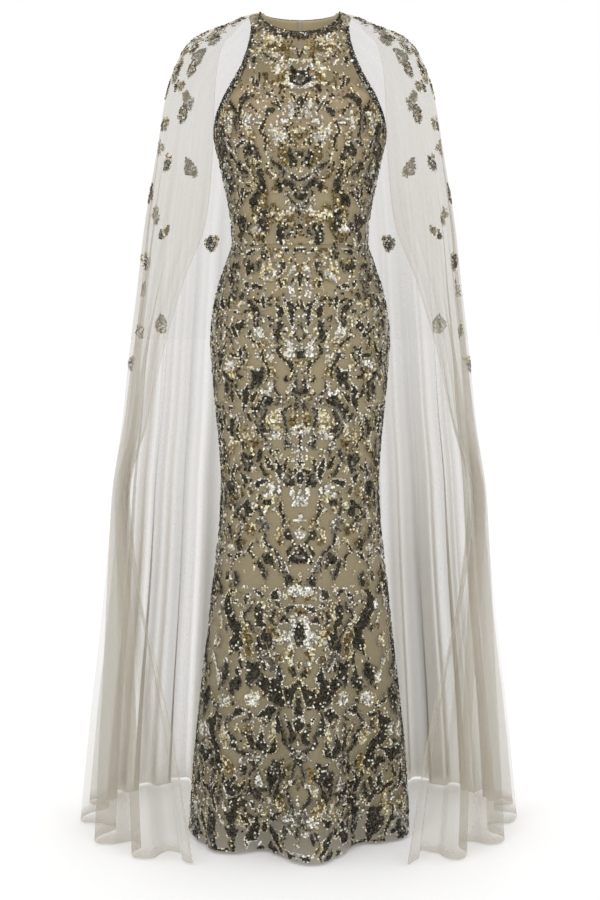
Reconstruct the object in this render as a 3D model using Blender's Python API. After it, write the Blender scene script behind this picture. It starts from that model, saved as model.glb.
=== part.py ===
"""Cape-sleeve gown: a fitted halter gown of net over a lining, with a sheer cape over each arm.

Metres, +Z up. The origin is level with the highest point of the neck edge, midway between the shoulders.
The wearer faces -Y. Left and right are the viewer's, seen from the front.
"""
from collections import namedtuple
from math import cos, exp, pi, radians, sin

import bmesh
import bpy
from mathutils import Vector

# Cloth and gaps
NET_WALL = 0.0014
LINING_WALL = 0.0012
TULLE_WALL = 0.0012
TRIM_WALL = 0.0010
SEAM_GAP = 0.0003
LINING_GAP = 0.0035

# Main heights and widths
WAIST_Z = -0.4175
HEM_Z = -1.520
LINING_HEM_Z = -1.460
NECK_HALF_WIDTH = 0.070
NECK_SIDE_Z = -0.003
NECK_FRONT_Y = -0.062
NECK_FRONT_Z = -0.045
NECK_BACK_Y = 0.066
NECK_BACK_Z = -0.010
STRAP_OUTER_X = 0.0925
STRAP_OUTER_Z = -0.012
STRAP_COLUMNS = 2

# Front lining: how far down its heart-shaped top edge lies, in sections, and its rows
HEART_CENTRE_PLACE = 3.6
HEART_PEAK_PLACE = 2.9
HEART_SIDE_PLACE = 4.6
HEART_ROWS = 8

# Trims
ZIP_HALF_WIDTH = 0.003
ZIP_SKIRT_ROWS = 3
LINING_BACK_GAP = 0.006
CAPE_BACK_GAP = 0.008

# Grid sizes
FRONT_COLUMNS = 28
BACK_COLUMNS = 14
STRAP_SHARE = 1 - STRAP_COLUMNS / BACK_COLUMNS
SKIRT_ROWS = 16
CAPE_FRONT_COLUMNS = 24
CAPE_BACK_COLUMNS = 30
BODICE_STEP = 0.02
CAPE_STEP = 0.01
SHARP_ANGLE = 50
STRAIGHT_ON = 0.000001
ON_PLANE = 0.0001

BodiceRow = namedtuple("BodiceRow", "edge_x edge_y edge_z centre_y centre_z sweep")
FRONT_ROWS = (
    BodiceRow(0.0865, -0.030, -0.038, -0.073, -0.068, 75),
    BodiceRow(0.0940, -0.058, -0.077, -0.086, -0.100, 60),
    BodiceRow(0.1090, -0.070, -0.114, -0.098, -0.135, 58),
    BodiceRow(0.1320, -0.062, -0.153, -0.108, -0.168, 65),
    BodiceRow(0.1490, -0.035, -0.190, -0.114, -0.200, 80),
    BodiceRow(0.1550, 0.000, -0.225, -0.117, -0.230, 90),
    BodiceRow(0.1440, 0.000, -0.280, -0.115, -0.280, 90),
    BodiceRow(0.1320, 0.000, -0.335, -0.106, -0.335, 90),
    BodiceRow(0.1250, 0.000, -0.385, -0.098, -0.385, 90),
    BodiceRow(0.1230, 0.000, WAIST_Z, -0.095, WAIST_Z, 90),
)
BACK_ROWS = (
    BodiceRow(0.0865, 0.032, -0.038, 0.076, -0.040, 75),
    BodiceRow(0.0960, 0.060, -0.077, 0.088, -0.075, 60),
    BodiceRow(0.1120, 0.070, -0.114, 0.094, -0.112, 58),
    BodiceRow(0.1340, 0.060, -0.153, 0.098, -0.152, 65),
    BodiceRow(0.1500, 0.034, -0.190, 0.100, -0.190, 80),
    BodiceRow(0.1550, 0.000, -0.225, 0.100, -0.228, 90),
    BodiceRow(0.1440, 0.000, -0.280, 0.096, -0.280, 90),
    BodiceRow(0.1320, 0.000, -0.335, 0.088, -0.335, 90),
    BodiceRow(0.1250, 0.000, -0.385, 0.084, -0.385, 90),
    BodiceRow(0.1230, 0.000, WAIST_Z, 0.083, WAIST_Z, 90),
)
# Fullness over each bust cup: how far out, where, and how wide
CUP_DEPTH = 0.016
CUP_X = 0.078
CUP_Z = -0.200
CUP_WIDTH = 0.050
CUP_HEIGHT = 0.055

SkirtRow = namedtuple("SkirtRow", "z half_width front back")
SKIRT_SECTIONS = (
    SkirtRow(WAIST_Z - SEAM_GAP, 0.123, 0.095, 0.083),
    SkirtRow(-0.447, 0.133, 0.098, 0.092),
    SkirtRow(-0.484, 0.146, 0.102, 0.105),
    SkirtRow(-0.521, 0.156, 0.105, 0.116),
    SkirtRow(-0.558, 0.162, 0.107, 0.122),
    SkirtRow(-0.600, 0.164, 0.108, 0.124),
    SkirtRow(-0.650, 0.161, 0.109, 0.119),
    SkirtRow(-0.710, 0.156, 0.111, 0.112),
    SkirtRow(-0.780, 0.150, 0.114, 0.107),
    SkirtRow(-0.850, 0.146, 0.118, 0.106),
    SkirtRow(-0.920, 0.149, 0.123, 0.111),
    SkirtRow(-0.990, 0.156, 0.129, 0.120),
    SkirtRow(-1.076, 0.166, 0.138, 0.134),
    SkirtRow(-1.168, 0.176, 0.149, 0.152),
    SkirtRow(-1.261, 0.187, 0.159, 0.170),
    SkirtRow(-1.353, 0.197, 0.168, 0.188),
    SkirtRow(-1.440, 0.204, 0.174, 0.203),
    SkirtRow(HEM_Z, 0.208, 0.178, 0.212),
)
# Soft flutes of the skirt: angle from centre front, depth at the hem, width, height where each fades out
FLUTE_GROWTH = 1.3
SkirtFlute = namedtuple("SkirtFlute", "angle depth width top_z")
SKIRT_FLUTES = (
    SkirtFlute(-62, 0.010, 14, -1.00),
    SkirtFlute(-42, 0.022, 11, -0.90),
    SkirtFlute(-20, -0.026, 10, -0.95),
    SkirtFlute(6, 0.036, 13, -0.80),
    SkirtFlute(38, -0.034, 15, -0.95),
    SkirtFlute(66, 0.010, 11, -1.05),
    SkirtFlute(112, -0.018, 12, -0.95),
    SkirtFlute(138, 0.024, 12, -0.85),
    SkirtFlute(164, -0.014, 10, -1.00),
    SkirtFlute(190, 0.020, 11, -0.85),
    SkirtFlute(216, -0.018, 12, -0.95),
    SkirtFlute(244, 0.018, 12, -0.90),
)

# The cape over one arm, neck to hem: its free front edge, its outermost line and its centre back edge
CapeRow = namedtuple("CapeRow", "front_x front_y front_z side_x side_y side_z back_y back_z")
CAPE_ROWS = (
    CapeRow(0.100, -0.024, -0.024, 0.104, 0.002, -0.0125, 0.083, -0.045),
    CapeRow(0.118, -0.040, -0.046, 0.135, 0.004, -0.026, 0.096, -0.072),
    CapeRow(0.134, -0.056, -0.064, 0.168, 0.006, -0.037, 0.103, -0.100),
    CapeRow(0.143, -0.068, -0.092, 0.198, 0.008, -0.055, 0.107, -0.130),
    CapeRow(0.148, -0.078, -0.130, 0.221, 0.010, -0.088, 0.110, -0.165),
    CapeRow(0.151, -0.084, -0.185, 0.243, 0.012, -0.150, 0.113, -0.215),
    CapeRow(0.155, -0.090, -0.280, 0.262, 0.016, -0.265, 0.117, -0.300),
    CapeRow(0.168, -0.098, -0.385, 0.281, 0.020, -0.385, 0.125, -0.400),
    CapeRow(0.205, -0.098, -0.480, 0.293, 0.026, -0.500, 0.142, -0.500),
    CapeRow(0.245, -0.090, -0.610, 0.307, 0.032, -0.615, 0.162, -0.615),
    CapeRow(0.275, -0.075, -0.740, 0.320, 0.040, -0.740, 0.180, -0.740),
    CapeRow(0.318, -0.040, -0.860, 0.336, 0.048, -0.860, 0.198, -0.860),
    CapeRow(0.308, -0.065, -0.960, 0.345, 0.054, -0.960, 0.212, -0.960),
    CapeRow(0.285, -0.100, -1.070, 0.355, 0.060, -1.070, 0.227, -1.070),
    CapeRow(0.252, -0.135, -1.190, 0.368, 0.066, -1.190, 0.243, -1.190),
    CapeRow(0.222, -0.160, -1.330, 0.384, 0.072, -1.330, 0.262, -1.330),
    CapeRow(0.192, -0.180, HEM_Z, 0.402, 0.080, HEM_Z, 0.285, HEM_Z),
)
CAPE_STATIONS = (0, 1, 2, 3, 4, 5, 6, 7.2, 8.7, 10.2, 12, 13.5, 15.2, 17)
CAPE_TOP_U = 0.92
CAPE_TOP_FRONT_ROW = 0.5
CAPE_TOP_BACK_ROW = 0.5
CAPE_TOP_CORNER = 0.055
CAPE_TOP_LIFT = 0.0008
CAPE_SIDE_SHARE = CAPE_FRONT_COLUMNS / (CAPE_FRONT_COLUMNS + CAPE_BACK_COLUMNS)
FRONT_WAVES = 3.5
BACK_WAVES = 6.0
WAVE_DEPTH = 0.022
WAVE_ROUNDING = 0.007
WAVE_TOP_Z = -0.12
WAVE_GROWTH = 1.1
ROUNDING_GROWTH = 1.5
WAVE_SHIFT = 0.35
WAVE_SHIFT_TURNS = 9
WAVE_UNEVEN = 0.25
WAVE_UNEVEN_TURNS = 5
WAVE_UNEVEN_START = 1.0
FRONT_EDGE_SHARE = 1 / 12
BACK_EDGE_SHARE = 1 / 8

# Zip slider and its pull, in the plane of the back
SLIDER_ROW = 0.9
SLIDER_SPAN_ROWS = 0.2
SLIDER_HALF_LENGTH = 0.0040
SLIDER_HALF_HEIGHT = 0.0020
SLIDER_WINDOW_HALF_LENGTH = 0.0030
SLIDER_WINDOW_HALF_HEIGHT = 0.0010
SLIDER_HALF_WIDTH = 0.0011
PULL_BAR = 0.0005
PULL_EYE_HALF_WIDTH = 0.0015
PULL_EYE_END = 0.0055
PULL_EYE_TIP_HALF_WIDTH = 0.0005
PULL_HALF_WIDTH = 0.0027
PULL_NECK_HALF_WIDTH = 0.0022
PULL_END = 0.0220


def remove_everything():
    """Empty the scene."""
    for thing in list(bpy.data.objects):
        bpy.data.objects.remove(thing, do_unlink=True)


def finish(name, colour, roughness, metallic=0.0, alpha=1.0):
    """One plain material for one piece."""
    material = bpy.data.materials.new(name)
    material.use_nodes = True
    shader = material.node_tree.nodes["Principled BSDF"]
    shader.inputs["Base Color"].default_value = (*colour, 1.0)
    shader.inputs["Roughness"].default_value = roughness
    shader.inputs["Metallic"].default_value = metallic
    shader.inputs["Alpha"].default_value = alpha
    material.diffuse_color = (*colour, 1.0)
    return material


NET_LOOK = ((0.16, 0.14, 0.09), 0.42, 0.35)
LINING_LOOK = ((0.45, 0.36, 0.22), 0.70)
TRIM_LOOK = ((0.06, 0.055, 0.045), 0.38, 0.5)
TULLE_LOOK = ((0.78, 0.76, 0.72), 0.85, 0.0, 0.35)
METAL_LOOK = ((0.42, 0.40, 0.36), 0.30, 1.0)


def add_object(name, mesh_data, look):
    """Turn a bmesh into a named object with its own material."""
    mesh = bpy.data.meshes.new(name)
    mesh_data.to_mesh(mesh)
    mesh_data.free()
    mesh.shade_smooth()
    mesh.set_sharp_from_angle(angle=radians(SHARP_ANGLE))
    made = bpy.data.objects.new(name, mesh)
    bpy.context.scene.collection.objects.link(made)
    made.data.materials.append(finish(name + "_finish", *look))
    return made


def spline(points, place):
    """Point on a smooth curve through the points, place counted in points."""
    last = len(points) - 1
    low = min(int(place), last - 1)
    share = place - low
    before = points[max(low - 1, 0)]
    start = points[low]
    end = points[low + 1]
    after = points[min(low + 2, last)]
    square = share * share
    cube = square * share
    return 0.5 * (
        2 * start
        + (end - before) * share
        + (2 * before - 5 * start + 4 * end - after) * square
        + (3 * start - before - 3 * end + after) * cube
    )


def neck_point(u, centre_y, centre_z):
    """Neck edge from the centre out to the strap, then along the shoulder seam."""
    side = 1 if u >= 0 else -1
    share = abs(u) / STRAP_SHARE
    if share <= 1:
        angle = share * pi / 2
        z = NECK_SIDE_Z + (centre_z - NECK_SIDE_Z) * cos(angle)
        return Vector((side * NECK_HALF_WIDTH * sin(angle), centre_y * cos(angle), z))
    out = (abs(u) - STRAP_SHARE) / (1 - STRAP_SHARE)
    x = NECK_HALF_WIDTH + (STRAP_OUTER_X - NECK_HALF_WIDTH) * out
    return Vector((side * x, 0.0, NECK_SIDE_Z + (STRAP_OUTER_Z - NECK_SIDE_Z) * out))


def row_point(row, u):
    """Point of one bodice section: u runs from -1 to 1, edge to edge."""
    sweep = radians(row.sweep)
    share = (cos(u * sweep) - cos(sweep)) / (1 - cos(sweep))
    x = row.edge_x * sin(u * sweep) / sin(sweep)
    y = row.edge_y + (row.centre_y - row.edge_y) * share
    z = row.edge_z + (row.centre_z - row.edge_z) * share
    return Vector((x, y, z))


def bodice_point(u, place, front):
    """Outer face of the bodice: place counts sections down from the neck."""
    rows = FRONT_ROWS if front else BACK_ROWS
    neck = (NECK_FRONT_Y, NECK_FRONT_Z) if front else (NECK_BACK_Y, NECK_BACK_Z)
    points = [neck_point(u, *neck)] + [row_point(row, u) for row in rows]
    point = spline(points, place)
    if front:
        across = (abs(point.x) - CUP_X) / CUP_WIDTH
        down = (point.z - CUP_Z) / CUP_HEIGHT
        point.y -= CUP_DEPTH * exp(-across * across - down * down)
        point.y = min(point.y, -SEAM_GAP / 2)
    else:
        point.y = max(point.y, SEAM_GAP / 2)
    return point


def bodice_out(u, place, front):
    """Outward direction of the bodice at a point."""
    step = BODICE_STEP
    across = bodice_point(min(u + step, 1.0), place, front) - bodice_point(u - step, place, front)
    down = bodice_point(u, place + step, front) - bodice_point(u, max(place - step, 0.0), front)
    out = across.cross(down).normalized()
    point = bodice_point(u, place, front)
    return out if out.dot(Vector((point.x, point.y, 0.0))) > 0 else -out


def skirt_profile(z):
    """Half-width, front depth and back depth of the skirt at a height."""
    rows = SKIRT_SECTIONS
    low = 0
    while low < len(rows) - 2 and rows[low + 1].z > z:
        low += 1
    share = (z - rows[low].z) / (rows[low + 1].z - rows[low].z)
    points = [Vector((row.half_width, row.front, row.back)) for row in rows]
    return spline(points, low + share)


def flute_depth(angle, z):
    """How far the skirt's flutes stand out at an angle and height."""
    depth = 0.0
    for flute in SKIRT_FLUTES:
        if z >= flute.top_z:
            continue
        turn = (angle - flute.angle + 180) % 360 - 180
        grow = (flute.top_z - z) / (flute.top_z - HEM_Z)
        depth += flute.depth * grow**FLUTE_GROWTH * exp(-((turn / flute.width) ** 2))
    return depth


def skirt_point(angle, z):
    """Outer face of the skirt: angle in degrees from centre front, towards +X."""
    half_width, front, back = skirt_profile(z)
    turn = radians(angle)
    depth = front if cos(turn) >= 0 else back
    out = flute_depth(angle, z)
    x = (half_width + out) * sin(turn)
    y = -(depth + out) * cos(turn)
    if abs(cos(turn)) < STRAIGHT_ON:
        y = 0.0
    return Vector((x, y, z))


def cape_top_point(s):
    """Where the cape is sewn on: up the front of the strap, then round the back neck. s runs 0 to 1."""
    if s < CAPE_SIDE_SHARE:
        u = CAPE_TOP_U
        place = CAPE_TOP_FRONT_ROW * (1 - s / CAPE_SIDE_SHARE)
        front = True
    else:
        share = (s - CAPE_SIDE_SHARE) / (1 - CAPE_SIDE_SHARE)
        u = CAPE_TOP_U * (1 - share)
        place = CAPE_TOP_BACK_ROW * min(1.0, share / CAPE_TOP_CORNER)
        front = False
    point = bodice_point(u, place, front)
    point += bodice_out(u, place, front) * CAPE_TOP_LIFT
    point.x = max(point.x, CAPE_BACK_GAP)
    return point


def cape_row_point(row, s):
    """Point of one cape section before its flutes: from the front edge round the side to the centre back."""
    if s < CAPE_SIDE_SHARE:
        turn = s / CAPE_SIDE_SHARE * pi / 2
        x = row.front_x + (row.side_x - row.front_x) * sin(turn)
        y = row.side_y + (row.front_y - row.side_y) * cos(turn)
        z = row.side_z + (row.front_z - row.side_z) * cos(turn)
    else:
        turn = (s - CAPE_SIDE_SHARE) / (1 - CAPE_SIDE_SHARE) * pi / 2
        x = CAPE_BACK_GAP + (row.side_x - CAPE_BACK_GAP) * cos(turn)
        y = row.side_y + (row.back_y - row.side_y) * sin(turn)
        z = row.side_z + (row.back_z - row.side_z) * sin(turn)
    return Vector((x, y, z))


def smooth_cape_point(s, place):
    """Cape surface before its flutes, for the arm at +X."""
    points = [cape_top_point(s)] + [cape_row_point(row, s) for row in CAPE_ROWS]
    return spline(points, place)


def wave_angle(s):
    """Phase of the cape's flutes, uneven in spacing."""
    if s < CAPE_SIDE_SHARE:
        turns = FRONT_WAVES * s / CAPE_SIDE_SHARE
    else:
        turns = FRONT_WAVES + BACK_WAVES * (s - CAPE_SIDE_SHARE) / (1 - CAPE_SIDE_SHARE)
    return 2 * pi * turns + WAVE_SHIFT * sin(WAVE_SHIFT_TURNS * s)


def cape_point(s, place, side):
    """Outer face of the cape over the arm at side (-1 or 1)."""
    point = smooth_cape_point(s, place)
    ahead = smooth_cape_point(min(s + CAPE_STEP, 1.0), place)
    behind = smooth_cape_point(max(s - CAPE_STEP, 0.0), place)
    along = Vector((ahead.x - behind.x, ahead.y - behind.y, 0.0))
    if point.z < WAVE_TOP_Z and along.length > 0:
        along.normalize()
        out = Vector((along.y, -along.x, 0.0))
        fall = (WAVE_TOP_Z - point.z) / (WAVE_TOP_Z - HEM_Z)
        phase = wave_angle(s)
        uneven = 1 + WAVE_UNEVEN * sin(WAVE_UNEVEN_TURNS * s + WAVE_UNEVEN_START)
        edge = min(1.0, (1 - s) / BACK_EDGE_SHARE) * min(1.0, s / FRONT_EDGE_SHARE)
        point += out * (WAVE_DEPTH * uneven * fall**WAVE_GROWTH * cos(phase))
        point += along * (WAVE_ROUNDING * fall**ROUNDING_GROWTH * sin(2 * phase) * edge)
        point.x = max(point.x, CAPE_BACK_GAP)
    return Vector((side * point.x, point.y, point.z))


def grid_normals(grid, planes):
    """Unit normals of a grid of points, facing away from the body's axis.

    planes holds (axis, position) pairs: a point on such a plane keeps its wall inside the plane.
    """
    rows = len(grid)
    columns = len(grid[0])
    normals = []
    facing = 0.0
    for i in range(rows):
        line = []
        for j in range(columns):
            down = grid[min(i + 1, rows - 1)][j] - grid[max(i - 1, 0)][j]
            across = grid[i][min(j + 1, columns - 1)] - grid[i][max(j - 1, 0)]
            normal = across.cross(down).normalized()
            point = grid[i][j]
            facing += normal.x * point.x + normal.y * point.y
            for axis, position in planes:
                if abs(abs(point[axis]) - abs(position)) < ON_PLANE:
                    normal[axis] = 0.0
                    normal.normalize()
            line.append(normal)
        normals.append(line)
    if facing < 0:
        normals = [[-normal for normal in line] for line in normals]
    return normals


def wall(name, grid, thickness, lift, look, planes=()):
    """A closed sheet: its outer face is the grid moved out by lift, its inner face a wall further in."""
    rows = len(grid)
    columns = len(grid[0])
    normals = grid_normals(grid, planes)
    mesh = bmesh.new()
    faces = []
    for depth in (lift, lift - thickness):
        faces.append(
            [
                [mesh.verts.new(grid[i][j] + normals[i][j] * depth) for j in range(columns)]
                for i in range(rows)
            ]
        )
    outer, inner = faces
    for i in range(rows - 1):
        for j in range(columns - 1):
            for sheet in (outer, inner):
                corners = (sheet[i][j], sheet[i][j + 1], sheet[i + 1][j + 1], sheet[i + 1][j])
                add_two_triangles(mesh, *corners)
    border = [(0, j) for j in range(columns)]
    border += [(i, columns - 1) for i in range(1, rows)]
    border += [(rows - 1, j) for j in range(columns - 2, -1, -1)]
    border += [(i, 0) for i in range(rows - 2, 0, -1)]
    for here, there in zip(border, border[1:] + border[:1]):
        a, b = outer[here[0]][here[1]], outer[there[0]][there[1]]
        c, d = inner[there[0]][there[1]], inner[here[0]][here[1]]
        add_two_triangles(mesh, a, b, c, d)
    bmesh.ops.recalc_face_normals(mesh, faces=mesh.faces)
    return add_object(name, mesh, look)


def add_two_triangles(mesh, a, b, c, d):
    """Split a four-cornered patch from its first corner to its third."""
    mesh.faces.new((a, b, c))
    mesh.faces.new((a, c, d))


def steps(start, end, count):
    """Evenly spaced values, both ends included."""
    return [start + (end - start) * k / count for k in range(count + 1)]


def bodice_grid(us, places, front, centre_gap=0.0):
    """Bodice points; on the back, centre_gap holds the edge beside the opening off the centre line."""
    grid = []
    for place in places:
        line = []
        for u in us:
            point = bodice_point(u, place, front)
            if centre_gap and abs(point.x) < centre_gap:
                point.x = centre_gap if us[-1] + us[0] > 0 else -centre_gap
            line.append(point)
        grid.append(line)
    return grid


SEAM_PLANES = ((1, SEAM_GAP / 2), (2, WAIST_Z), (2, WAIST_Z - SEAM_GAP))
FULL_FRONT = steps(-1.0, 1.0, FRONT_COLUMNS)
HALF_BACK = {-1: steps(-1.0, 0.0, BACK_COLUMNS), 1: steps(0.0, 1.0, BACK_COLUMNS)}
SIDE_NAMES = {-1: "left", 1: "right"}
BODICE_PLACES = (0.0, 0.3, 0.8, 1.6, 2.5, 3.4, 4.2, 5.1, 6.0, 7.2, 8.5, 10.0)
BINDING_ROWS = slice(2, 9)
BINDING_COLUMNS = {-1: slice(0, 2), 1: slice(-2, None)}


def opening_planes(gap):
    """Seam planes and the plane beside the centre back opening."""
    return SEAM_PLANES + ((0, gap),)


def build_bodice():
    """Net front and two backs."""
    grid = bodice_grid(FULL_FRONT, BODICE_PLACES, True)
    wall("bodice_front", grid, NET_WALL, 0.0, NET_LOOK, SEAM_PLANES)
    for side, name in SIDE_NAMES.items():
        grid = bodice_grid(HALF_BACK[side], BODICE_PLACES, False, SEAM_GAP)
        wall(f"bodice_back_{name}", grid, NET_WALL, 0.0, NET_LOOK, opening_planes(SEAM_GAP))


def heart_line(u):
    """One column of the front lining, from its heart-shaped top edge to the waist."""
    reach = abs(u)
    if reach < 0.5:
        top = HEART_CENTRE_PLACE + (HEART_PEAK_PLACE - HEART_CENTRE_PLACE) * sin(pi * reach)
    else:
        top = HEART_PEAK_PLACE + (HEART_SIDE_PLACE - HEART_PEAK_PLACE) * (2 * reach - 1) ** 2
    return [bodice_point(u, place, True) for place in steps(top, len(FRONT_ROWS), HEART_ROWS)]


def build_bodice_lining():
    """Lining inside the bodice: heart-shaped at the front, up to the neck at the back."""
    lift = -(NET_WALL + LINING_GAP)
    heart = list(zip(*[heart_line(u) for u in FULL_FRONT[::2]]))
    wall("bodice_lining_front", heart, LINING_WALL, lift, LINING_LOOK, SEAM_PLANES)
    for side, name in SIDE_NAMES.items():
        grid = bodice_grid(HALF_BACK[side][::2], BODICE_PLACES, False, LINING_BACK_GAP)
        planes = opening_planes(LINING_BACK_GAP)
        wall(f"bodice_lining_back_{name}", grid, LINING_WALL, lift, LINING_LOOK, planes)


def build_neck_band():
    """Dark band that lies on the neck edge: one front and two backs, on the panels' own points."""
    lift = SEAM_GAP + TRIM_WALL
    grid = bodice_grid(FULL_FRONT, BODICE_PLACES[:2], True)
    grid = [line[STRAP_COLUMNS:-STRAP_COLUMNS] for line in grid]
    wall("neck_band_front", grid, TRIM_WALL, lift, TRIM_LOOK, SEAM_PLANES)
    for side, name in SIDE_NAMES.items():
        grid = bodice_grid(HALF_BACK[side], BODICE_PLACES[:2], False, SEAM_GAP)
        grid = [line[STRAP_COLUMNS:] if side < 0 else line[:-STRAP_COLUMNS] for line in grid]
        wall(f"neck_band_back_{name}", grid, TRIM_WALL, lift, TRIM_LOOK, opening_planes(SEAM_GAP))


def build_armhole_bindings():
    """Dark binding that lies on each armhole edge, front and back, on the panels' own points."""
    lift = SEAM_GAP + TRIM_WALL
    for side, name in SIDE_NAMES.items():
        for front, half in ((True, "front"), (False, "back")):
            us = FULL_FRONT if front else HALF_BACK[side]
            grid = bodice_grid(us, BODICE_PLACES[BINDING_ROWS], front)
            grid = [line[BINDING_COLUMNS[side]] for line in grid]
            wall(f"armhole_binding_{half}_{name}", grid, TRIM_WALL, lift, TRIM_LOOK, SEAM_PLANES)


def skirt_grid(angles, levels, seam_y, centre_gap=0.0):
    """Skirt points: seam_y holds the side edges off the side seam, centre_gap the edge at centre back."""
    grid = []
    for z in levels:
        line = []
        for angle in angles:
            point = skirt_point(angle, z)
            if abs(point.y) < abs(seam_y):
                point.y = seam_y
            if centre_gap and abs(point.x) < centre_gap:
                point.x = centre_gap if sum(angles) > 0 else -centre_gap
            line.append(point)
        grid.append(line)
    return grid


FRONT_ANGLES = steps(-90.0, 90.0, FRONT_COLUMNS)
SKIRT_LEVELS = steps(WAIST_Z - SEAM_GAP, HEM_Z, SKIRT_ROWS)
LINING_LEVELS = SKIRT_LEVELS[:-1:2] + [LINING_HEM_Z]
FRONT_SEAM_Y = -SEAM_GAP / 2
BACK_SEAM_Y = SEAM_GAP / 2


def back_angles(side):
    """Angles of one back half, side seam to centre back."""
    return [side * angle for angle in steps(90.0, 180.0, BACK_COLUMNS)]


def build_skirt():
    """Net front and two backs."""
    grid = skirt_grid(FRONT_ANGLES, SKIRT_LEVELS, FRONT_SEAM_Y)
    wall("skirt_front", grid, NET_WALL, 0.0, NET_LOOK, SEAM_PLANES)
    for side, name in SIDE_NAMES.items():
        grid = skirt_grid(back_angles(side), SKIRT_LEVELS, BACK_SEAM_Y, SEAM_GAP)
        wall(f"skirt_back_{name}", grid, NET_WALL, 0.0, NET_LOOK, opening_planes(SEAM_GAP))


def build_skirt_lining():
    """Lining that hangs inside the net and stops above its hem."""
    lift = -(NET_WALL + LINING_GAP)
    grid = skirt_grid(FRONT_ANGLES, LINING_LEVELS, FRONT_SEAM_Y)
    wall("skirt_lining_front", grid, LINING_WALL, lift, LINING_LOOK, SEAM_PLANES)
    for side, name in SIDE_NAMES.items():
        grid = skirt_grid(back_angles(side), LINING_LEVELS, BACK_SEAM_Y, LINING_BACK_GAP)
        planes = opening_planes(LINING_BACK_GAP)
        wall(f"skirt_lining_back_{name}", grid, LINING_WALL, lift, LINING_LOOK, planes)


def build_cape():
    """Sheer cape, one panel over each arm."""
    shares = steps(0.0, 1.0, CAPE_FRONT_COLUMNS + CAPE_BACK_COLUMNS)
    for side, name in SIDE_NAMES.items():
        grid = [[cape_point(s, place, side) for s in shares] for place in CAPE_STATIONS]
        wall(f"cape_{name}", grid, TULLE_WALL, TULLE_WALL, TULLE_LOOK, ((0, CAPE_BACK_GAP),))


def build_zip():
    """Concealed coil inside the centre back, with its slider and pull outside."""
    lift = -(NET_WALL + SEAM_GAP)
    bodice = [bodice_point(0.0, place, False) for place in BODICE_PLACES[:-1]]
    skirt = [skirt_point(180.0, z) for z in SKIRT_LEVELS[: ZIP_SKIRT_ROWS + 1]]
    grid = [
        [Vector((x, point.y, point.z)) for x in (-ZIP_HALF_WIDTH, 0.0, ZIP_HALF_WIDTH)]
        for point in bodice + skirt
    ]
    wall("zip_coil", grid, TRIM_WALL, lift, LINING_LOOK)
    centre, down, outward = slider_seat()
    build_slider(centre, down, outward)
    build_pull(centre, down, outward)


def slider_seat():
    """Middle of the slider on the back, and the directions down and out of the back there."""
    seat = bodice_point(0.0, SLIDER_ROW, False)
    below = bodice_point(0.0, SLIDER_ROW + SLIDER_SPAN_ROWS, False)
    down = (below - seat).normalized()
    outward = Vector((0.0, -down.z, down.y))
    return seat + outward * (SLIDER_HALF_HEIGHT + SEAM_GAP), down, outward


def build_slider(centre, down, outward):
    """A flat ring that stands on the tape, its window holding the pull."""
    ring_outer = rectangle(SLIDER_HALF_LENGTH, SLIDER_HALF_HEIGHT)
    ring_inner = rectangle(SLIDER_WINDOW_HALF_LENGTH, SLIDER_WINDOW_HALF_HEIGHT)

    def place(a, b, c):
        """Length down the back, height off it and width, as a point."""
        return centre + down * a + outward * b + Vector((c, 0.0, 0.0))

    add_object("zip_slider", ring_solid(ring_outer, ring_inner, SLIDER_HALF_WIDTH, place), METAL_LOOK)


def build_pull(centre, down, outward):
    """A tapered tab hung on the slider by its eye, with its origin on the hinge axis."""

    outline = (
        (-PULL_HALF_WIDTH, -PULL_BAR),
        (PULL_HALF_WIDTH, -PULL_BAR),
        (PULL_HALF_WIDTH, PULL_EYE_END),
        (PULL_NECK_HALF_WIDTH, PULL_END),
        (-PULL_NECK_HALF_WIDTH, PULL_END),
        (-PULL_HALF_WIDTH, PULL_EYE_END),
    )
    eye = (
        (-PULL_EYE_HALF_WIDTH, PULL_BAR),
        (PULL_EYE_HALF_WIDTH, PULL_BAR),
        (PULL_EYE_HALF_WIDTH, PULL_EYE_END - PULL_BAR),
        (PULL_EYE_TIP_HALF_WIDTH, PULL_EYE_END),
        (-PULL_EYE_TIP_HALF_WIDTH, PULL_EYE_END),
        (-PULL_EYE_HALF_WIDTH, PULL_EYE_END - PULL_BAR),
    )

    def place(a, b, c):
        """Width, length down the back and height off it, as a point about the hinge."""
        return Vector((a, 0.0, 0.0)) + down * b + outward * c

    pull = add_object("zip_pull", ring_solid(outline, eye, PULL_BAR, place), METAL_LOOK)
    pull.location = centre


def rectangle(half_a, half_b):
    """Four corners about the origin."""
    return ((-half_a, -half_b), (half_a, -half_b), (half_a, half_b), (-half_a, half_b))


def ring_solid(outline, eye, half_thickness, place):
    """A flat plate with one hole, both outlines having the same number of corners."""
    mesh = bmesh.new()
    loops = {}
    for key, corners in (("outline", outline), ("eye", eye)):
        for end in (-half_thickness, half_thickness):
            loops[key, end] = [mesh.verts.new(place(a, b, end)) for a, b in corners]
    count = len(outline)
    low = -half_thickness
    high = half_thickness
    pairs = (
        (loops["outline", low], loops["outline", high]),
        (loops["eye", low], loops["eye", high]),
        (loops["outline", low], loops["eye", low]),
        (loops["outline", high], loops["eye", high]),
    )
    for first, second in pairs:
        for k in range(count):
            after = (k + 1) % count
            mesh.faces.new((first[k], first[after], second[after], second[k]))
    bmesh.ops.recalc_face_normals(mesh, faces=mesh.faces)
    bmesh.ops.triangulate(mesh, faces=mesh.faces)
    return mesh


remove_everything()
build_bodice()
build_bodice_lining()
build_neck_band()
build_armhole_bindings()
build_skirt()
build_skirt_lining()
build_cape()
build_zip()
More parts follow.
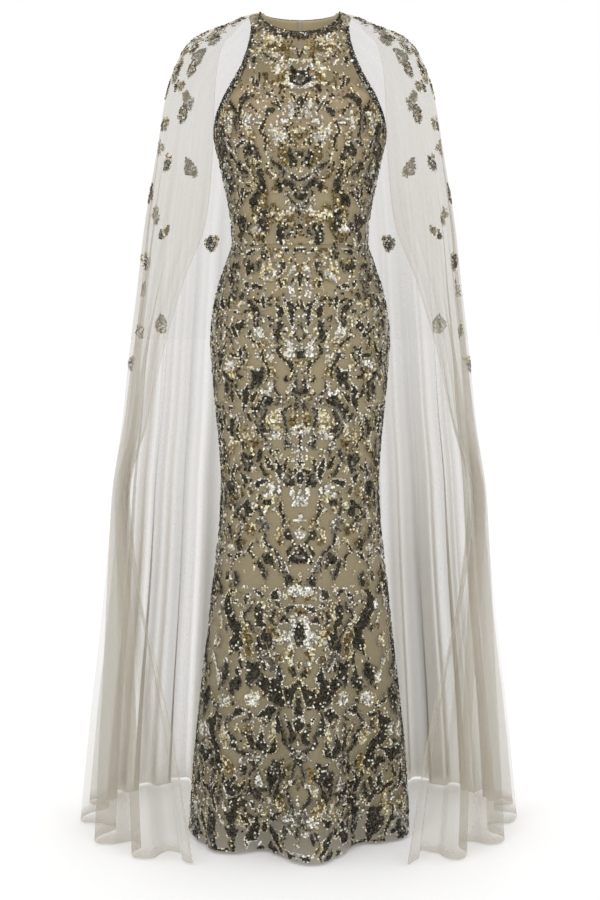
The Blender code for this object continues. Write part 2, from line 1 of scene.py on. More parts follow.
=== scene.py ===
"""Looks of the cape-sleeve gown: sequinned net over a lining, dark beaded trims and a sheer tulle cape.

Metres, +Z up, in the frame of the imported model. The wearer faces -Y. Left and right are the viewer's.
"""
import logging
from dataclasses import dataclass
from enum import Enum
from math import atan2, pi, radians
from typing import Callable

import bpy
import numpy as np
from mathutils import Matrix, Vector


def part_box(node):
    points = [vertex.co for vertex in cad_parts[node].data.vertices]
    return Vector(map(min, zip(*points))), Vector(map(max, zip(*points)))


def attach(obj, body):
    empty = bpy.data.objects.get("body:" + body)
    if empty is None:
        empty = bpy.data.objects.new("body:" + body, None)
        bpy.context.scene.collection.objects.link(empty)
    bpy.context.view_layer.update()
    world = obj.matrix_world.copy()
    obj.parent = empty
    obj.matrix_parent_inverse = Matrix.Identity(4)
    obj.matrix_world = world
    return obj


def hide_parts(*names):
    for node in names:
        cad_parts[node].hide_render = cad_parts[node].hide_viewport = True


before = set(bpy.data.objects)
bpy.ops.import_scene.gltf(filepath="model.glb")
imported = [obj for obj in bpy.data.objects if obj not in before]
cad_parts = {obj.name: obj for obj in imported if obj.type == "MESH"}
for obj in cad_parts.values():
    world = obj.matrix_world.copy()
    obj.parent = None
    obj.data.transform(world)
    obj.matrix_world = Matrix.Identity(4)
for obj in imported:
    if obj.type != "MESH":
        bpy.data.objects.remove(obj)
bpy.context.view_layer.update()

LOG = logging.getLogger("gown")
Array = np.ndarray
Surface = Callable[[Array, Array], Array]

GOWN_BODY = "gown"
SEAM_GAP = 0.0003
COVER_AND_SHADE_ATTRIBUTE = "cloth_cover_and_shade"
LINING_BACK_GAP = 0.006

# Trims, in shares round the bodice and sections down it
STRAP_SHARE = 12 / 14
BAND_ROWS = 0.3
DARK_NECK_ROWS = 0.62
BINDING_TOP = 0.8
BINDING_BOTTOM = 6.0
BINDING_SHARE = 1 / 14
BINDING_START = 13 / 14
DARK_ARM_START = 0.885

# Top edge of the front lining, in sections down
HEART_CENTRE = 3.6
HEART_PEAK = 2.9
HEART_SIDE = 4.6

LINING_DEPTH = 0.0056
WAIST_Z = -0.4175
HEM_Z = -1.520
LINING_HEM_Z = -1.460
SIDES = {-1: "left", 1: "right"}


# Shapes, worked out from the same sizes as the solids


def spline(points: Array, place: Array) -> Array:
    """Points on smooth curves through control points.

    Args:
        points: control points, (rows, 3) for one curve or (rows, count, 3) for one curve a sample.
        place: where on its curve each sample lies, counted in rows.

    Returns:
        One point a sample, (count, 3).
    """
    last = points.shape[0] - 1
    low = np.clip(np.floor(place).astype(int), 0, last - 1)
    share = (place - low)[:, None]

    def row(index: Array) -> Array:
        """Control point of each sample."""
        index = np.clip(index, 0, last)
        return points[index] if points.ndim == 2 else points[index, np.arange(points.shape[1])]

    before, start, end, after = row(low - 1), row(low), row(low + 1), row(low + 2)
    return 0.5 * (
        2 * start
        + (end - before) * share
        + (2 * before - 5 * start + 4 * end - after) * share**2
        + (3 * start - before - 3 * end + after) * share**3
    )


@dataclass(frozen=True)
class BodiceSection:
    """One section of a bodice panel, from edge to centre."""

    edge_x: float
    edge_y: float
    edge_z: float
    centre_y: float
    centre_z: float
    sweep: float


@dataclass(frozen=True)
class BodiceShape:
    """Front or back of the bodice: u from -1 to 1 edge to edge, place in sections down from the neck."""

    sections: tuple[BodiceSection, ...]
    neck_y: float
    neck_z: float
    front: bool
    neck_half_width: float = 0.070
    neck_side_z: float = -0.003
    strap_outer_x: float = 0.0925
    strap_outer_z: float = -0.012
    strap_share: float = 12 / 14
    cup_depth: float = 0.016
    cup_x: float = 0.078
    cup_z: float = -0.200
    cup_width: float = 0.050
    cup_height: float = 0.055

    def neck(self, u: Array) -> Array:
        """Neck edge, then the shoulder seam."""
        share = np.abs(u) / self.strap_share
        angle = np.minimum(share, 1.0) * pi / 2
        out = np.clip((np.abs(u) - self.strap_share) / (1 - self.strap_share), 0.0, 1.0)
        x = self.neck_half_width * np.sin(angle) + (self.strap_outer_x - self.neck_half_width) * out
        y = self.neck_y * np.cos(angle) * (share < 1)
        z = self.neck_side_z + (self.neck_z - self.neck_side_z) * np.cos(angle)
        z = z + (self.strap_outer_z - self.neck_side_z) * out
        return np.stack((np.sign(u) * x, y, z), axis=1)

    def points(self, u: Array, place: Array) -> Array:
        """Outer face of the panel.

        Args:
            u: position across, -1 to 1.
            place: position down, in sections.

        Returns:
            One point a sample.
        """
        rows = [self.neck(u)]
        for cut in self.sections:
            sweep = radians(cut.sweep)
            share = (np.cos(u * sweep) - np.cos(sweep)) / (1 - np.cos(sweep))
            x = cut.edge_x * np.sin(u * sweep) / np.sin(sweep)
            y = cut.edge_y + (cut.centre_y - cut.edge_y) * share
            z = cut.edge_z + (cut.centre_z - cut.edge_z) * share
            rows.append(np.stack((x, y, z), axis=1))
        point = spline(np.stack(rows), place)
        if self.front:
            across = (np.abs(point[:, 0]) - self.cup_x) / self.cup_width
            down = (point[:, 2] - self.cup_z) / self.cup_height
            point[:, 1] -= self.cup_depth * np.exp(-(across**2) - down**2)
            point[:, 1] = np.minimum(point[:, 1], -SEAM_GAP / 2)
        else:
            point[:, 1] = np.maximum(point[:, 1], SEAM_GAP / 2)
        return point


    def lifted(self, u: Array, place: Array, lift: float) -> Array:
        """Points of the panel, moved out."""
        step = 0.02
        across = self.points(np.minimum(u + step, 1.0), place) - self.points(u - step, place)
        down = self.points(u, place + step) - self.points(u, np.maximum(place - step, 0.0))
        out = np.cross(across, down)
        out /= np.maximum(np.linalg.norm(out, axis=1, keepdims=True), 1e-12)
        point = self.points(u, place)
        facing = np.sum(out[:, :2] * point[:, :2], axis=1, keepdims=True)
        return point + out * np.where(facing > 0, lift, -lift)


FRONT_BODICE = BodiceShape(
    (
        BodiceSection(0.0865, -0.030, -0.038, -0.073, -0.068, 75),
        BodiceSection(0.0940, -0.058, -0.077, -0.086, -0.100, 60),
        BodiceSection(0.1090, -0.070, -0.114, -0.098, -0.135, 58),
        BodiceSection(0.1320, -0.062, -0.153, -0.108, -0.168, 65),
        BodiceSection(0.1490, -0.035, -0.190, -0.114, -0.200, 80),
        BodiceSection(0.1550, 0.000, -0.225, -0.117, -0.230, 90),
        BodiceSection(0.1440, 0.000, -0.280, -0.115, -0.280, 90),
        BodiceSection(0.1320, 0.000, -0.335, -0.106, -0.335, 90),
        BodiceSection(0.1250, 0.000, -0.385, -0.098, -0.385, 90),
        BodiceSection(0.1230, 0.000, WAIST_Z, -0.095, WAIST_Z, 90),
    ),
    neck_y=-0.062,
    neck_z=-0.045,
    front=True,
)
BACK_BODICE = BodiceShape(
    (
        BodiceSection(0.0865, 0.032, -0.038, 0.076, -0.040, 75),
        BodiceSection(0.0960, 0.060, -0.077, 0.088, -0.075, 60),
        BodiceSection(0.1120, 0.070, -0.114, 0.094, -0.112, 58),
        BodiceSection(0.1340, 0.060, -0.153, 0.098, -0.152, 65),
        BodiceSection(0.1500, 0.034, -0.190, 0.100, -0.190, 80),
        BodiceSection(0.1550, 0.000, -0.225, 0.100, -0.228, 90),
        BodiceSection(0.1440, 0.000, -0.280, 0.096, -0.280, 90),
        BodiceSection(0.1320, 0.000, -0.335, 0.088, -0.335, 90),
        BodiceSection(0.1250, 0.000, -0.385, 0.084, -0.385, 90),
        BodiceSection(0.1230, 0.000, WAIST_Z, 0.083, WAIST_Z, 90),
    ),
    neck_y=0.066,
    neck_z=-0.010,
    front=False,
)
BODICE_SECTIONS = 10


@dataclass(frozen=True)
class SkirtSection:
    """One ring of the skirt."""

    z: float
    half_width: float
    front: float
    back: float


@dataclass(frozen=True)
class Flute:
    """A soft fold of the skirt: angle from centre front, depth at the hem, width and top height."""

    angle: float
    depth: float
    width: float
    top_z: float


@dataclass(frozen=True)
class SkirtShape:
    """The skirt: angle in degrees from centre front towards +X, and height."""

    sections: tuple[SkirtSection, ...]
    flutes: tuple[Flute, ...]

    def points(self, angle: Array, z: Array) -> Array:
        """Outer face of the skirt.

        Args:
            angle: degrees from centre front.
            z: height.

        Returns:
            One point a sample.
        """
        heights = np.array([-cut.z for cut in self.sections])
        table = np.array([(cut.half_width, cut.front, cut.back) for cut in self.sections])
        size = spline(table, np.interp(-z, heights, np.arange(len(heights))))
        turn = np.radians(angle)
        depth = np.where(np.cos(turn) >= 0, size[:, 1], size[:, 2])
        out = np.zeros_like(z)
        for flute in self.flutes:
            away = (angle - flute.angle + 180) % 360 - 180
            grow = np.clip((flute.top_z - z) / (flute.top_z - HEM_Z), 0.0, 1.2)
            out += flute.depth * grow**1.3 * np.exp(-((away / flute.width) ** 2))
        x = (size[:, 0] + out) * np.sin(turn)
        return np.stack((x, -(depth + out) * np.cos(turn), z), axis=1)


SKIRT = SkirtShape(
    (
        SkirtSection(WAIST_Z - SEAM_GAP, 0.123, 0.095, 0.083),
        SkirtSection(-0.447, 0.133, 0.098, 0.092),
        SkirtSection(-0.484, 0.146, 0.102, 0.105),
        SkirtSection(-0.521, 0.156, 0.105, 0.116),
        SkirtSection(-0.558, 0.162, 0.107, 0.122),
        SkirtSection(-0.600, 0.164, 0.108, 0.124),
        SkirtSection(-0.650, 0.161, 0.109, 0.119),
        SkirtSection(-0.710, 0.156, 0.111, 0.112),
        SkirtSection(-0.780, 0.150, 0.114, 0.107),
        SkirtSection(-0.850, 0.146, 0.118, 0.106),
        SkirtSection(-0.920, 0.149, 0.123, 0.111),
        SkirtSection(-0.990, 0.156, 0.129, 0.120),
        SkirtSection(-1.076, 0.166, 0.138, 0.134),
        SkirtSection(-1.168, 0.176, 0.149, 0.152),
        SkirtSection(-1.261, 0.187, 0.159, 0.170),
        SkirtSection(-1.353, 0.197, 0.168, 0.188),
        SkirtSection(-1.440, 0.204, 0.174, 0.203),
        SkirtSection(HEM_Z, 0.208, 0.178, 0.212),
    ),
    (
        Flute(-62, 0.010, 14, -1.00),
        Flute(-42, 0.022, 11, -0.90),
        Flute(-20, -0.026, 10, -0.95),
        Flute(6, 0.036, 13, -0.80),
        Flute(38, -0.034, 15, -0.95),
        Flute(66, 0.010, 11, -1.05),
        Flute(112, -0.018, 12, -0.95),
        Flute(138, 0.024, 12, -0.85),
        Flute(164, -0.014, 10, -1.00),
        Flute(190, 0.020, 11, -0.85),
        Flute(216, -0.018, 12, -0.95),
        Flute(244, 0.018, 12, -0.90),
        # Finer creases between the flutes
        Flute(-52, -0.0040, 3.0, -0.95),
        Flute(-31, 0.0045, 3.5, -1.05),
        Flute(-9, -0.0040, 3.0, -0.90),
        Flute(16, -0.0035, 2.6, -1.00),
        Flute(24, 0.0045, 3.2, -1.10),
        Flute(49, 0.0040, 3.0, -1.00),
        Flute(78, -0.0040, 3.5, -0.95),
        Flute(-76, 0.0040, 3.5, -1.05),
        Flute(125, -0.0040, 3.2, -1.00),
        Flute(151, 0.0045, 3.0, -0.95),
        Flute(202, -0.0040, 3.0, -1.00),
        Flute(230, 0.0045, 3.4, -1.05),
    ),
)


@dataclass(frozen=True)
class CapeSection:
    """One section of the cape over an arm: its front edge, outermost line and centre back edge."""

    front_x: float
    front_y: float
    front_z: float
    side_x: float
    side_y: float
    side_z: float
    back_y: float
    back_z: float


@dataclass(frozen=True)
class CapeShape:
    """The cape over one arm: s from 0 at the front edge to 1 at centre back, place in sections down."""

    sections: tuple[CapeSection, ...]
    back_gap: float = 0.008
    side_share: float = 24 / 54
    top_u: float = 0.92
    top_front_place: float = 0.5
    top_back_place: float = 0.5
    top_corner: float = 0.055
    top_lift: float = 0.0008
    front_waves: float = 3.5
    back_waves: float = 6.0
    wave_depth: float = 0.022
    wave_rounding: float = 0.007
    wave_top_z: float = -0.12
    fine_waves: float = 3.0
    fine_depth: float = 0.0045

    def top(self, s: Array) -> Array:
        """Seam line: up the front of the strap, then round the back neck."""
        ahead = s < self.side_share
        share = (s - self.side_share) / (1 - self.side_share)
        u = np.where(ahead, self.top_u, self.top_u * (1 - np.clip(share, 0, 1)))
        rise = self.top_front_place * np.clip(1 - s / self.side_share, 0, 1)
        fall = self.top_back_place * np.clip(share / self.top_corner, 0, 1)
        front = FRONT_BODICE.lifted(u, rise, self.top_lift)
        back = BACK_BODICE.lifted(u, fall, self.top_lift)
        point = np.where(ahead[:, None], front, back)
        point[:, 0] = np.maximum(point[:, 0], self.back_gap)
        return point

    def smooth(self, s: Array, place: Array) -> Array:
        """Cape before its folds, for the arm at +X."""
        rows = [self.top(s)]
        ahead = s < self.side_share
        front_turn = np.clip(s / self.side_share, 0, 1) * pi / 2
        back_turn = np.clip((s - self.side_share) / (1 - self.side_share), 0, 1) * pi / 2
        for cut in self.sections:
            x = np.where(
                ahead,
                cut.front_x + (cut.side_x - cut.front_x) * np.sin(front_turn),
                self.back_gap + (cut.side_x - self.back_gap) * np.cos(back_turn),
            )
            y = np.where(
                ahead,
                cut.side_y + (cut.front_y - cut.side_y) * np.cos(front_turn),
                cut.side_y + (cut.back_y - cut.side_y) * np.sin(back_turn),
            )
            z = np.where(
                ahead,
                cut.side_z + (cut.front_z - cut.side_z) * np.cos(front_turn),
                cut.side_z + (cut.back_z - cut.side_z) * np.sin(back_turn),
            )
            rows.append(np.stack((x, y, z), axis=1))
        return spline(np.stack(rows), place)

    def phase(self, s: Array) -> Array:
        """Phase of the main folds, uneven in spacing."""
        share = (s - self.side_share) / (1 - self.side_share)
        turns = np.where(
            s < self.side_share,
            self.front_waves * s / self.side_share,
            self.front_waves + self.back_waves * share,
        )
        return 2 * pi * turns + 0.35 * np.sin(9 * s)

    def fine_phase(self, s: Array, side: int) -> Array:
        """Phase of the finer folds between the main ones."""
        return self.fine_waves * self.phase(s) + 2.2 * np.sin(7 * s + side) + 0.6 * np.sin(23 * s)

    def points(self, s: Array, place: Array, side: int) -> Array:
        """Cape with its folds.

        Args:
            s: position round, front edge to centre back.
            place: position down, in sections.
            side: -1 for the viewer's left, 1 for the right.

        Returns:
            One point a sample.
        """
        step = 0.004
        point = self.smooth(s, place)
        along = self.smooth(np.minimum(s + step, 1), place) - self.smooth(np.maximum(s - step, 0), place)
        along[:, 2] = 0.0
        along /= np.maximum(np.linalg.norm(along, axis=1, keepdims=True), 1e-9)
        out = np.stack((along[:, 1], -along[:, 0], np.zeros(len(s))), axis=1)
        fall = np.clip((self.wave_top_z - point[:, 2]) / (self.wave_top_z - HEM_Z), 0, 1)
        phase = self.phase(s)
        uneven = 1 + 0.25 * np.sin(5 * s + 1.0)
        depth = self.wave_depth * uneven * fall**1.1 * np.cos(phase)
        fine = self.fine_depth * (0.25 + fall) * np.clip(fall * 6, 0, 1) * np.sin(self.fine_phase(s, side))
        depth += fine * (0.6 + 0.4 * np.sin(11 * s + 2 * side))
        edge = np.minimum(1.0, 8 * (1 - s)) * np.minimum(1.0, 12 * s)
        slide = self.wave_rounding * fall**1.5 * np.sin(2 * phase) * edge
        point = point + out * depth[:, None] + along * slide[:, None]
        point[:, 0] = np.maximum(point[:, 0], self.back_gap)
        point[:, 0] *= side
        return point


CAPE = CapeShape(
    (
        CapeSection(0.100, -0.024, -0.024, 0.104, 0.002, -0.0125, 0.083, -0.045),
        CapeSection(0.118, -0.040, -0.046, 0.135, 0.004, -0.026, 0.096, -0.072),
        CapeSection(0.134, -0.056, -0.064, 0.168, 0.006, -0.037, 0.103, -0.100),
        CapeSection(0.143, -0.068, -0.092, 0.198, 0.008, -0.055, 0.107, -0.130),
        CapeSection(0.148, -0.078, -0.130, 0.221, 0.010, -0.088, 0.110, -0.165),
        CapeSection(0.151, -0.084, -0.185, 0.243, 0.012, -0.150, 0.113, -0.215),
        CapeSection(0.155, -0.090, -0.280, 0.262, 0.016, -0.265, 0.117, -0.300),
        CapeSection(0.168, -0.098, -0.385, 0.281, 0.020, -0.385, 0.125, -0.400),
        CapeSection(0.205, -0.098, -0.480, 0.293, 0.026, -0.500, 0.142, -0.500),
        CapeSection(0.245, -0.090, -0.610, 0.307, 0.032, -0.615, 0.162, -0.615),
        CapeSection(0.275, -0.075, -0.740, 0.320, 0.040, -0.740, 0.180, -0.740),
        CapeSection(0.318, -0.040, -0.860, 0.336, 0.048, -0.860, 0.198, -0.860),
        CapeSection(0.308, -0.065, -0.960, 0.345, 0.054, -0.960, 0.212, -0.960),
        CapeSection(0.285, -0.100, -1.070, 0.355, 0.060, -1.070, 0.227, -1.070),
        CapeSection(0.252, -0.135, -1.190, 0.368, 0.066, -1.190, 0.243, -1.190),
        CapeSection(0.222, -0.160, -1.330, 0.384, 0.072, -1.330, 0.262, -1.330),
        CapeSection(0.192, -0.180, HEM_Z, 0.402, 0.080, HEM_Z, 0.285, HEM_Z),
    ),
)
CAPE_SECTIONS = 17


# Finishes


@dataclass
class Bench:
    """Short calls for building one node material."""

    name: str

    def __post_init__(self) -> None:
        """Open an empty material with a Principled shader."""
        self.material = bpy.data.materials.new(self.name)
        self.material.use_nodes = True
        self.tree = self.material.node_tree
        self.shader = self.tree.nodes["Principled BSDF"]

    def node(self, kind: str, **settings: object) -> bpy.types.Node:
        """Add a node and set its properties."""
        made = self.tree.nodes.new(kind)
        for key, value in settings.items():
            setattr(made, key, value)
        return made

    def link(self, source: bpy.types.NodeSocket, target: bpy.types.NodeSocket) -> None:
        """Join two sockets."""
        self.tree.links.new(source, target)

    def fixed(self, **values: object) -> None:
        """Set plain values on the shader, words joined by underscores."""
        for key, value in values.items():
            self.shader.inputs[key.replace("_", " ").title().replace("Ior", "IOR")].default_value = value

    def coordinates(self, scale: tuple[float, float, float]) -> bpy.types.NodeSocket:
        """Object coordinates, scaled."""
        source = self.node("ShaderNodeTexCoord")
        mapping = self.node("ShaderNodeMapping")
        mapping.inputs["Scale"].default_value = scale
        self.link(source.outputs["Object"], mapping.inputs["Vector"])
        return mapping.outputs["Vector"]

    def noise(self, scale: float, detail: float = 2.0, stretch: tuple[float, float, float] = (1, 1, 1)):
        """Noise on object coordinates; returns its value socket."""
        made = self.node("ShaderNodeTexNoise")
        made.inputs["Scale"].default_value = scale
        made.inputs["Detail"].default_value = detail
        self.link(self.coordinates(stretch), made.inputs["Vector"])
        return made.outputs["Fac"]

    def spread(self, source: bpy.types.NodeSocket, low: float, high: float) -> bpy.types.NodeSocket:
        """Map a 0 to 1 value to a range."""
        made = self.node("ShaderNodeMapRange")
        made.inputs["To Min"].default_value = low
        made.inputs["To Max"].default_value = high
        self.link(source, made.inputs["Value"])
        return made.outputs["Result"]

    def height(self, low: float, high: float) -> bpy.types.NodeSocket:
        """Height, as 0 at and below one level and 1 at and above another."""
        parts = self.node("ShaderNodeSeparateXYZ")
        self.link(self.node("ShaderNodeTexCoord").outputs["Object"], parts.inputs[0])
        ramp = self.node("ShaderNodeMapRange")
        ramp.inputs["From Min"].default_value = low
        ramp.inputs["From Max"].default_value = high
        self.link(parts.outputs["Z"], ramp.inputs["Value"])
        return ramp.outputs["Result"]

    def math(self, operation: str, first: object, second: object) -> bpy.types.NodeSocket:
        """One sum; a number is set on its socket and a socket is linked."""
        made = self.node("ShaderNodeMath", operation=operation)
        for socket, value in zip(made.inputs, (first, second)):
            if isinstance(value, (int, float)):
                socket.default_value = value
            else:
                self.link(value, socket)
        return made.outputs["Value"]

    def blend(self, share: bpy.types.NodeSocket, low: tuple, high: tuple) -> bpy.types.NodeSocket:
        """Mix two colours."""
        ramp = self.node("ShaderNodeValToRGB")
        ramp.color_ramp.elements[0].color = (*low, 1)
        ramp.color_ramp.elements[1].color = (*high, 1)
        self.link(share, ramp.inputs["Fac"])
        return ramp.outputs["Color"]

    def attribute(self, name: str, output: str) -> bpy.types.NodeSocket:
        """Value or colour carried by the mesh."""
        return self.node("ShaderNodeAttribute", attribute_name=name).outputs[output]

    def bump(self, height: bpy.types.NodeSocket, strength: float, distance: float) -> None:
        """Raise the surface by a height."""
        made = self.node("ShaderNodeBump")
        made.inputs["Strength"].default_value = strength
        made.inputs["Distance"].default_value = distance
        self.link(height, made.inputs["Height"])
        self.link(made.outputs["Normal"], self.shader.inputs["Normal"])


@dataclass(frozen=True)
class Fade:
    """Another colour that a cloth takes below one height, blending from its own above another."""

    colour: tuple[float, float, float]
    low: float
    high: float


@dataclass(frozen=True)
class WovenFinish:
    """Opaque or see-through woven cloth: colour range, thread pitch, roughness and cover."""

    name: str
    dark: tuple[float, float, float]
    light: tuple[float, float, float]
    threads: float = 1400.0
    roughness: float = 0.6
    cover: float = 1.0
    sheen: float = 0.15
    fade: Fade | None = None

    def material(self) -> bpy.types.Material:
        """Threads both ways, with soft uneven colour."""
        bench = Bench(self.name)
        bench.fixed(metallic=0.0, sheen_weight=self.sheen, sheen_roughness=0.5)
        colour = bench.blend(bench.noise(9.0, 3.0), self.dark, self.light)
        if self.fade is not None:
            mix = bench.node("ShaderNodeMix", data_type="RGBA")
            bench.link(bench.height(self.fade.low, self.fade.high), mix.inputs[0])
            mix.inputs[6].default_value = (*self.fade.colour, 1.0)
            bench.link(colour, mix.inputs[7])
            colour = mix.outputs[2]
        bench.link(colour, bench.shader.inputs["Base Color"])
        grain = bench.noise(self.threads, 1.0, (1.0, 1.0, 0.35))
        bench.link(bench.spread(grain, self.roughness - 0.08, self.roughness + 0.08),
                   bench.shader.inputs["Roughness"])
        bench.bump(grain, 0.25, 0.0003)
        if self.cover < 1:
            cover = bench.spread(bench.noise(self.threads * 0.5, 0.0), self.cover - 0.08, self.cover + 0.08)
            bench.link(cover, bench.shader.inputs["Alpha"])
        return bench.material


@dataclass(frozen=True)
class TulleFinish:
    """Sheer tulle: nearly clear face on, denser down the flanks of its folds and along its rolled edge, and
    darker in colour where denser, which is painted shade.
    """

    name: str = "tulle_finish"
    dark: tuple[float, float, float] = (0.42, 0.37, 0.275)
    light: tuple[float, float, float] = (0.47, 0.43, 0.35)
    least: float = 0.14
    most: float = 0.92

    def material(self) -> bpy.types.Material:
        """Cover and colour come from the piece's own density values; the darker colour where denser is painted
        shade.
        """
        bench = Bench(self.name)
        bench.fixed(roughness=0.85, metallic=0.0, sheen_weight=0.2)
        density = bench.attribute(COVER_AND_SHADE_ATTRIBUTE, "Fac")
        # Painted shade: the tulle's colour darkens where its cover is dense, down fold flanks, in gathers and on
        # the panel behind.
        bench.link(bench.blend(density, self.light, self.dark), bench.shader.inputs["Base Color"])
        cover = bench.spread(density, self.least, self.most)
        mesh = bench.spread(bench.noise(900.0, 0.0), 0.85, 1.15)
        bench.link(bench.math("MULTIPLY", cover, mesh), bench.shader.inputs["Alpha"])
        return bench.material


@dataclass(frozen=True)
class SequinFinish:
    """Small cupped discs whose tone comes with each disc."""

    name: str = "sequin_finish"
    metallic: float = 0.75

    def material(self) -> bpy.types.Material:
        """Glossy foil with slight wear."""
        bench = Bench(self.name)
        bench.fixed(metallic=self.metallic)
        tone = bench.attribute("tone", "Color")
        worn = bench.node("ShaderNodeMix", data_type="RGBA", blend_type="MULTIPLY")
        worn.inputs[0].default_value = 0.35
        bench.link(tone, worn.inputs[6])
        bench.link(bench.blend(bench.noise(350.0, 2.0), (0.55, 0.52, 0.46), (1, 1, 1)), worn.inputs[7])
        bench.link(worn.outputs[2], bench.shader.inputs["Base Color"])
        bench.link(bench.spread(bench.noise(600.0, 1.0), 0.18, 0.42), bench.shader.inputs["Roughness"])
        return bench.material


@dataclass(frozen=True)
class MetalFinish:
    """Satin pewter with fine brushed lines."""

    name: str = "pewter_finish"

    def material(self) -> bpy.types.Material:
        """Brushed along its length."""
        bench = Bench(self.name)
        bench.fixed(metallic=1.0)
        lines = bench.noise(1500.0, 2.0, (1.0, 1.0, 0.1))
        bench.link(bench.blend(lines, (0.30, 0.28, 0.24), (0.52, 0.50, 0.45)), bench.shader.inputs["Base Color"])
        bench.link(bench.spread(lines, 0.25, 0.45), bench.shader.inputs["Roughness"])
        bench.bump(lines, 0.15, 0.0001)
        return bench.material


@dataclass(frozen=True)
class Shade:
    """A disc's linear colour, and how unevenly bright such discs are: partly random tone, partly painted
    sparkle.
    """

    colour: tuple[float, float, float]
    uneven: float


class Tone(Enum):
    """Sequin and bead tones."""

    CHARCOAL = Shade((0.040, 0.036, 0.025), 0.40)
    PEWTER = Shade((0.170, 0.155, 0.125), 0.50)
    BRONZE = Shade((0.165, 0.120, 0.048), 0.50)
    CHAMPAGNE = Shade((0.54, 0.465, 0.28), 0.55)
    SILVER = Shade((0.66, 0.64, 0.55), 0.55)


TONES = list(Tone)
TONE_TABLE = np.array([tone.value.colour for tone in TONES])
# Spread of disc brightness: partly random tone, partly painted sparkle.
UNEVEN_TABLE = np.array([tone.value.uneven for tone in TONES])
BARE = -1


# Making sheets and discs


def deselect_all() -> None:
    """Leave nothing selected."""
    for thing in bpy.context.selected_objects:
        thing.select_set(False)


def mean_out(points: Array, normals: Array) -> float:
    """Above zero if normals point away from the body's axis."""
    return float(np.sum(points[:, :2] * normals[:, :2]))


def lay_sheet(name: str, columns: int, rows: int, surface: Surface, lift: float = 0.0,
              cover: Callable[[Array, Array, Array, Array], Array] | None = None) -> bpy.types.Object:
    """Add a flat grid and lay its points on a surface.

    Args:
        name: object name.
        columns: faces across.
        rows: faces down.
        surface: gives points from two arrays, across and down, each 0 to 1.
        lift: how far the sheet is moved out.
        cover: gives the cloth's density from across, down, points and normals.

    Returns:
        The sheet, facing out.
    """
    deselect_all()
    bpy.ops.mesh.primitive_grid_add(x_subdivisions=columns, y_subdivisions=rows, size=2)
    made = bpy.context.object
    made.name = name
    mesh = made.data
    mesh.name = name
    flat = np.empty(len(mesh.vertices) * 3)
    mesh.vertices.foreach_get("co", flat)
    flat = flat.reshape(-1, 3)
    a = np.clip((flat[:, 0] + 1) / 2, 0, 1)
    b = np.clip((1 - flat[:, 1]) / 2, 0, 1)
    points, normals = surface_with_normals(surface, a, b)
    points = points + normals * lift
    mesh.vertices.foreach_set("co", points.ravel())
    mesh.update()
    if cover:
        layer = mesh.attributes.new(COVER_AND_SHADE_ATTRIBUTE, "FLOAT", "POINT")
        layer.data.foreach_set("value", cover(a, b, points, normals))
    facing = np.empty(len(mesh.polygons) * 3)
    centres = np.empty(len(mesh.polygons) * 3)
    mesh.polygons.foreach_get("normal", facing)
    mesh.polygons.foreach_get("center", centres)
    if mean_out(centres.reshape(-1, 3), facing.reshape(-1, 3)) < 0:
        mesh.flip_normals()
    bpy.ops.object.shade_smooth()
    return made


def surface_with_normals(surface: Surface, a: Array, b: Array) -> tuple[Array, Array]:
    """Points and outward unit normals of a surface.

    Args:
        surface: gives points from across and down values.
        a: across, 0 to 1.
        b: down, 0 to 1.

    Returns:
        Points and normals.
    """
    step = 0.002
    low_a, high_a = np.clip(a - step, 0, 1), np.clip(a + step, 0, 1)
    low_b, high_b = np.clip(b - step, 0, 1), np.clip(b + step, 0, 1)
    points = surface(a, b)
    across = surface(high_a, b) - surface(low_a, b)
    down = surface(a, high_b) - surface(a, low_b)
    normals = np.cross(across, down)
    normals /= np.maximum(np.linalg.norm(normals, axis=1, keepdims=True), 1e-12)
    if mean_out(points, normals) < 0:
        normals = -normals
    return points, normals


def thicken(piece: bpy.types.Object, wall: float) -> None:
    """Give a sheet its wall, inwards."""
    deselect_all()
    bpy.context.view_layer.objects.active = piece
    piece.select_set(True)
    solid = piece.modifiers.new("wall", "SOLIDIFY")
    solid.thickness = wall
    solid.offset = -1.0
    bpy.ops.object.modifier_apply(modifier=solid.name)


def paint(piece: bpy.types.Object, material: bpy.types.Material) -> None:
    """Give a piece one material."""
    piece.data.materials.clear()
    piece.data.materials.append(material)


def cut_size(surface: Surface) -> tuple[float, float, float]:
    """Width, length and area of the flat cut that a surface needs."""
    count = 120
    a, b = np.meshgrid(np.linspace(0, 1, count + 1), np.linspace(0, 1, count + 1))
    points = surface(a.ravel(), b.ravel()).reshape(count + 1, count + 1, 3)
    across = np.linalg.norm(np.diff(points, axis=1), axis=2)
    down = np.linalg.norm(np.diff(points, axis=0), axis=2)
    width, length = across.sum(axis=1).max(), down.sum(axis=0).max()
    first = points[1:, 1:] - points[:-1, :-1]
    second = points[1:, :-1] - points[:-1, 1:]
    area = 0.5 * np.linalg.norm(np.cross(first, second), axis=2).sum()
    return round(float(width), 3), round(float(length), 3), float(min(area, width * length))


def declare(piece: bpy.types.Object, surface: Surface, node: str) -> None:
    """Ride, replace and state the cut of one sheet.

    Args:
        piece: the sheet.
        surface: the surface it was laid on.
        node: the CAD node it stands for.
    """
    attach(piece, GOWN_BODY)
    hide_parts(node)
    width, length, area = cut_size(surface)
    LOG.info("%s: cut %.2f by %.2f m", piece.name, width, length)


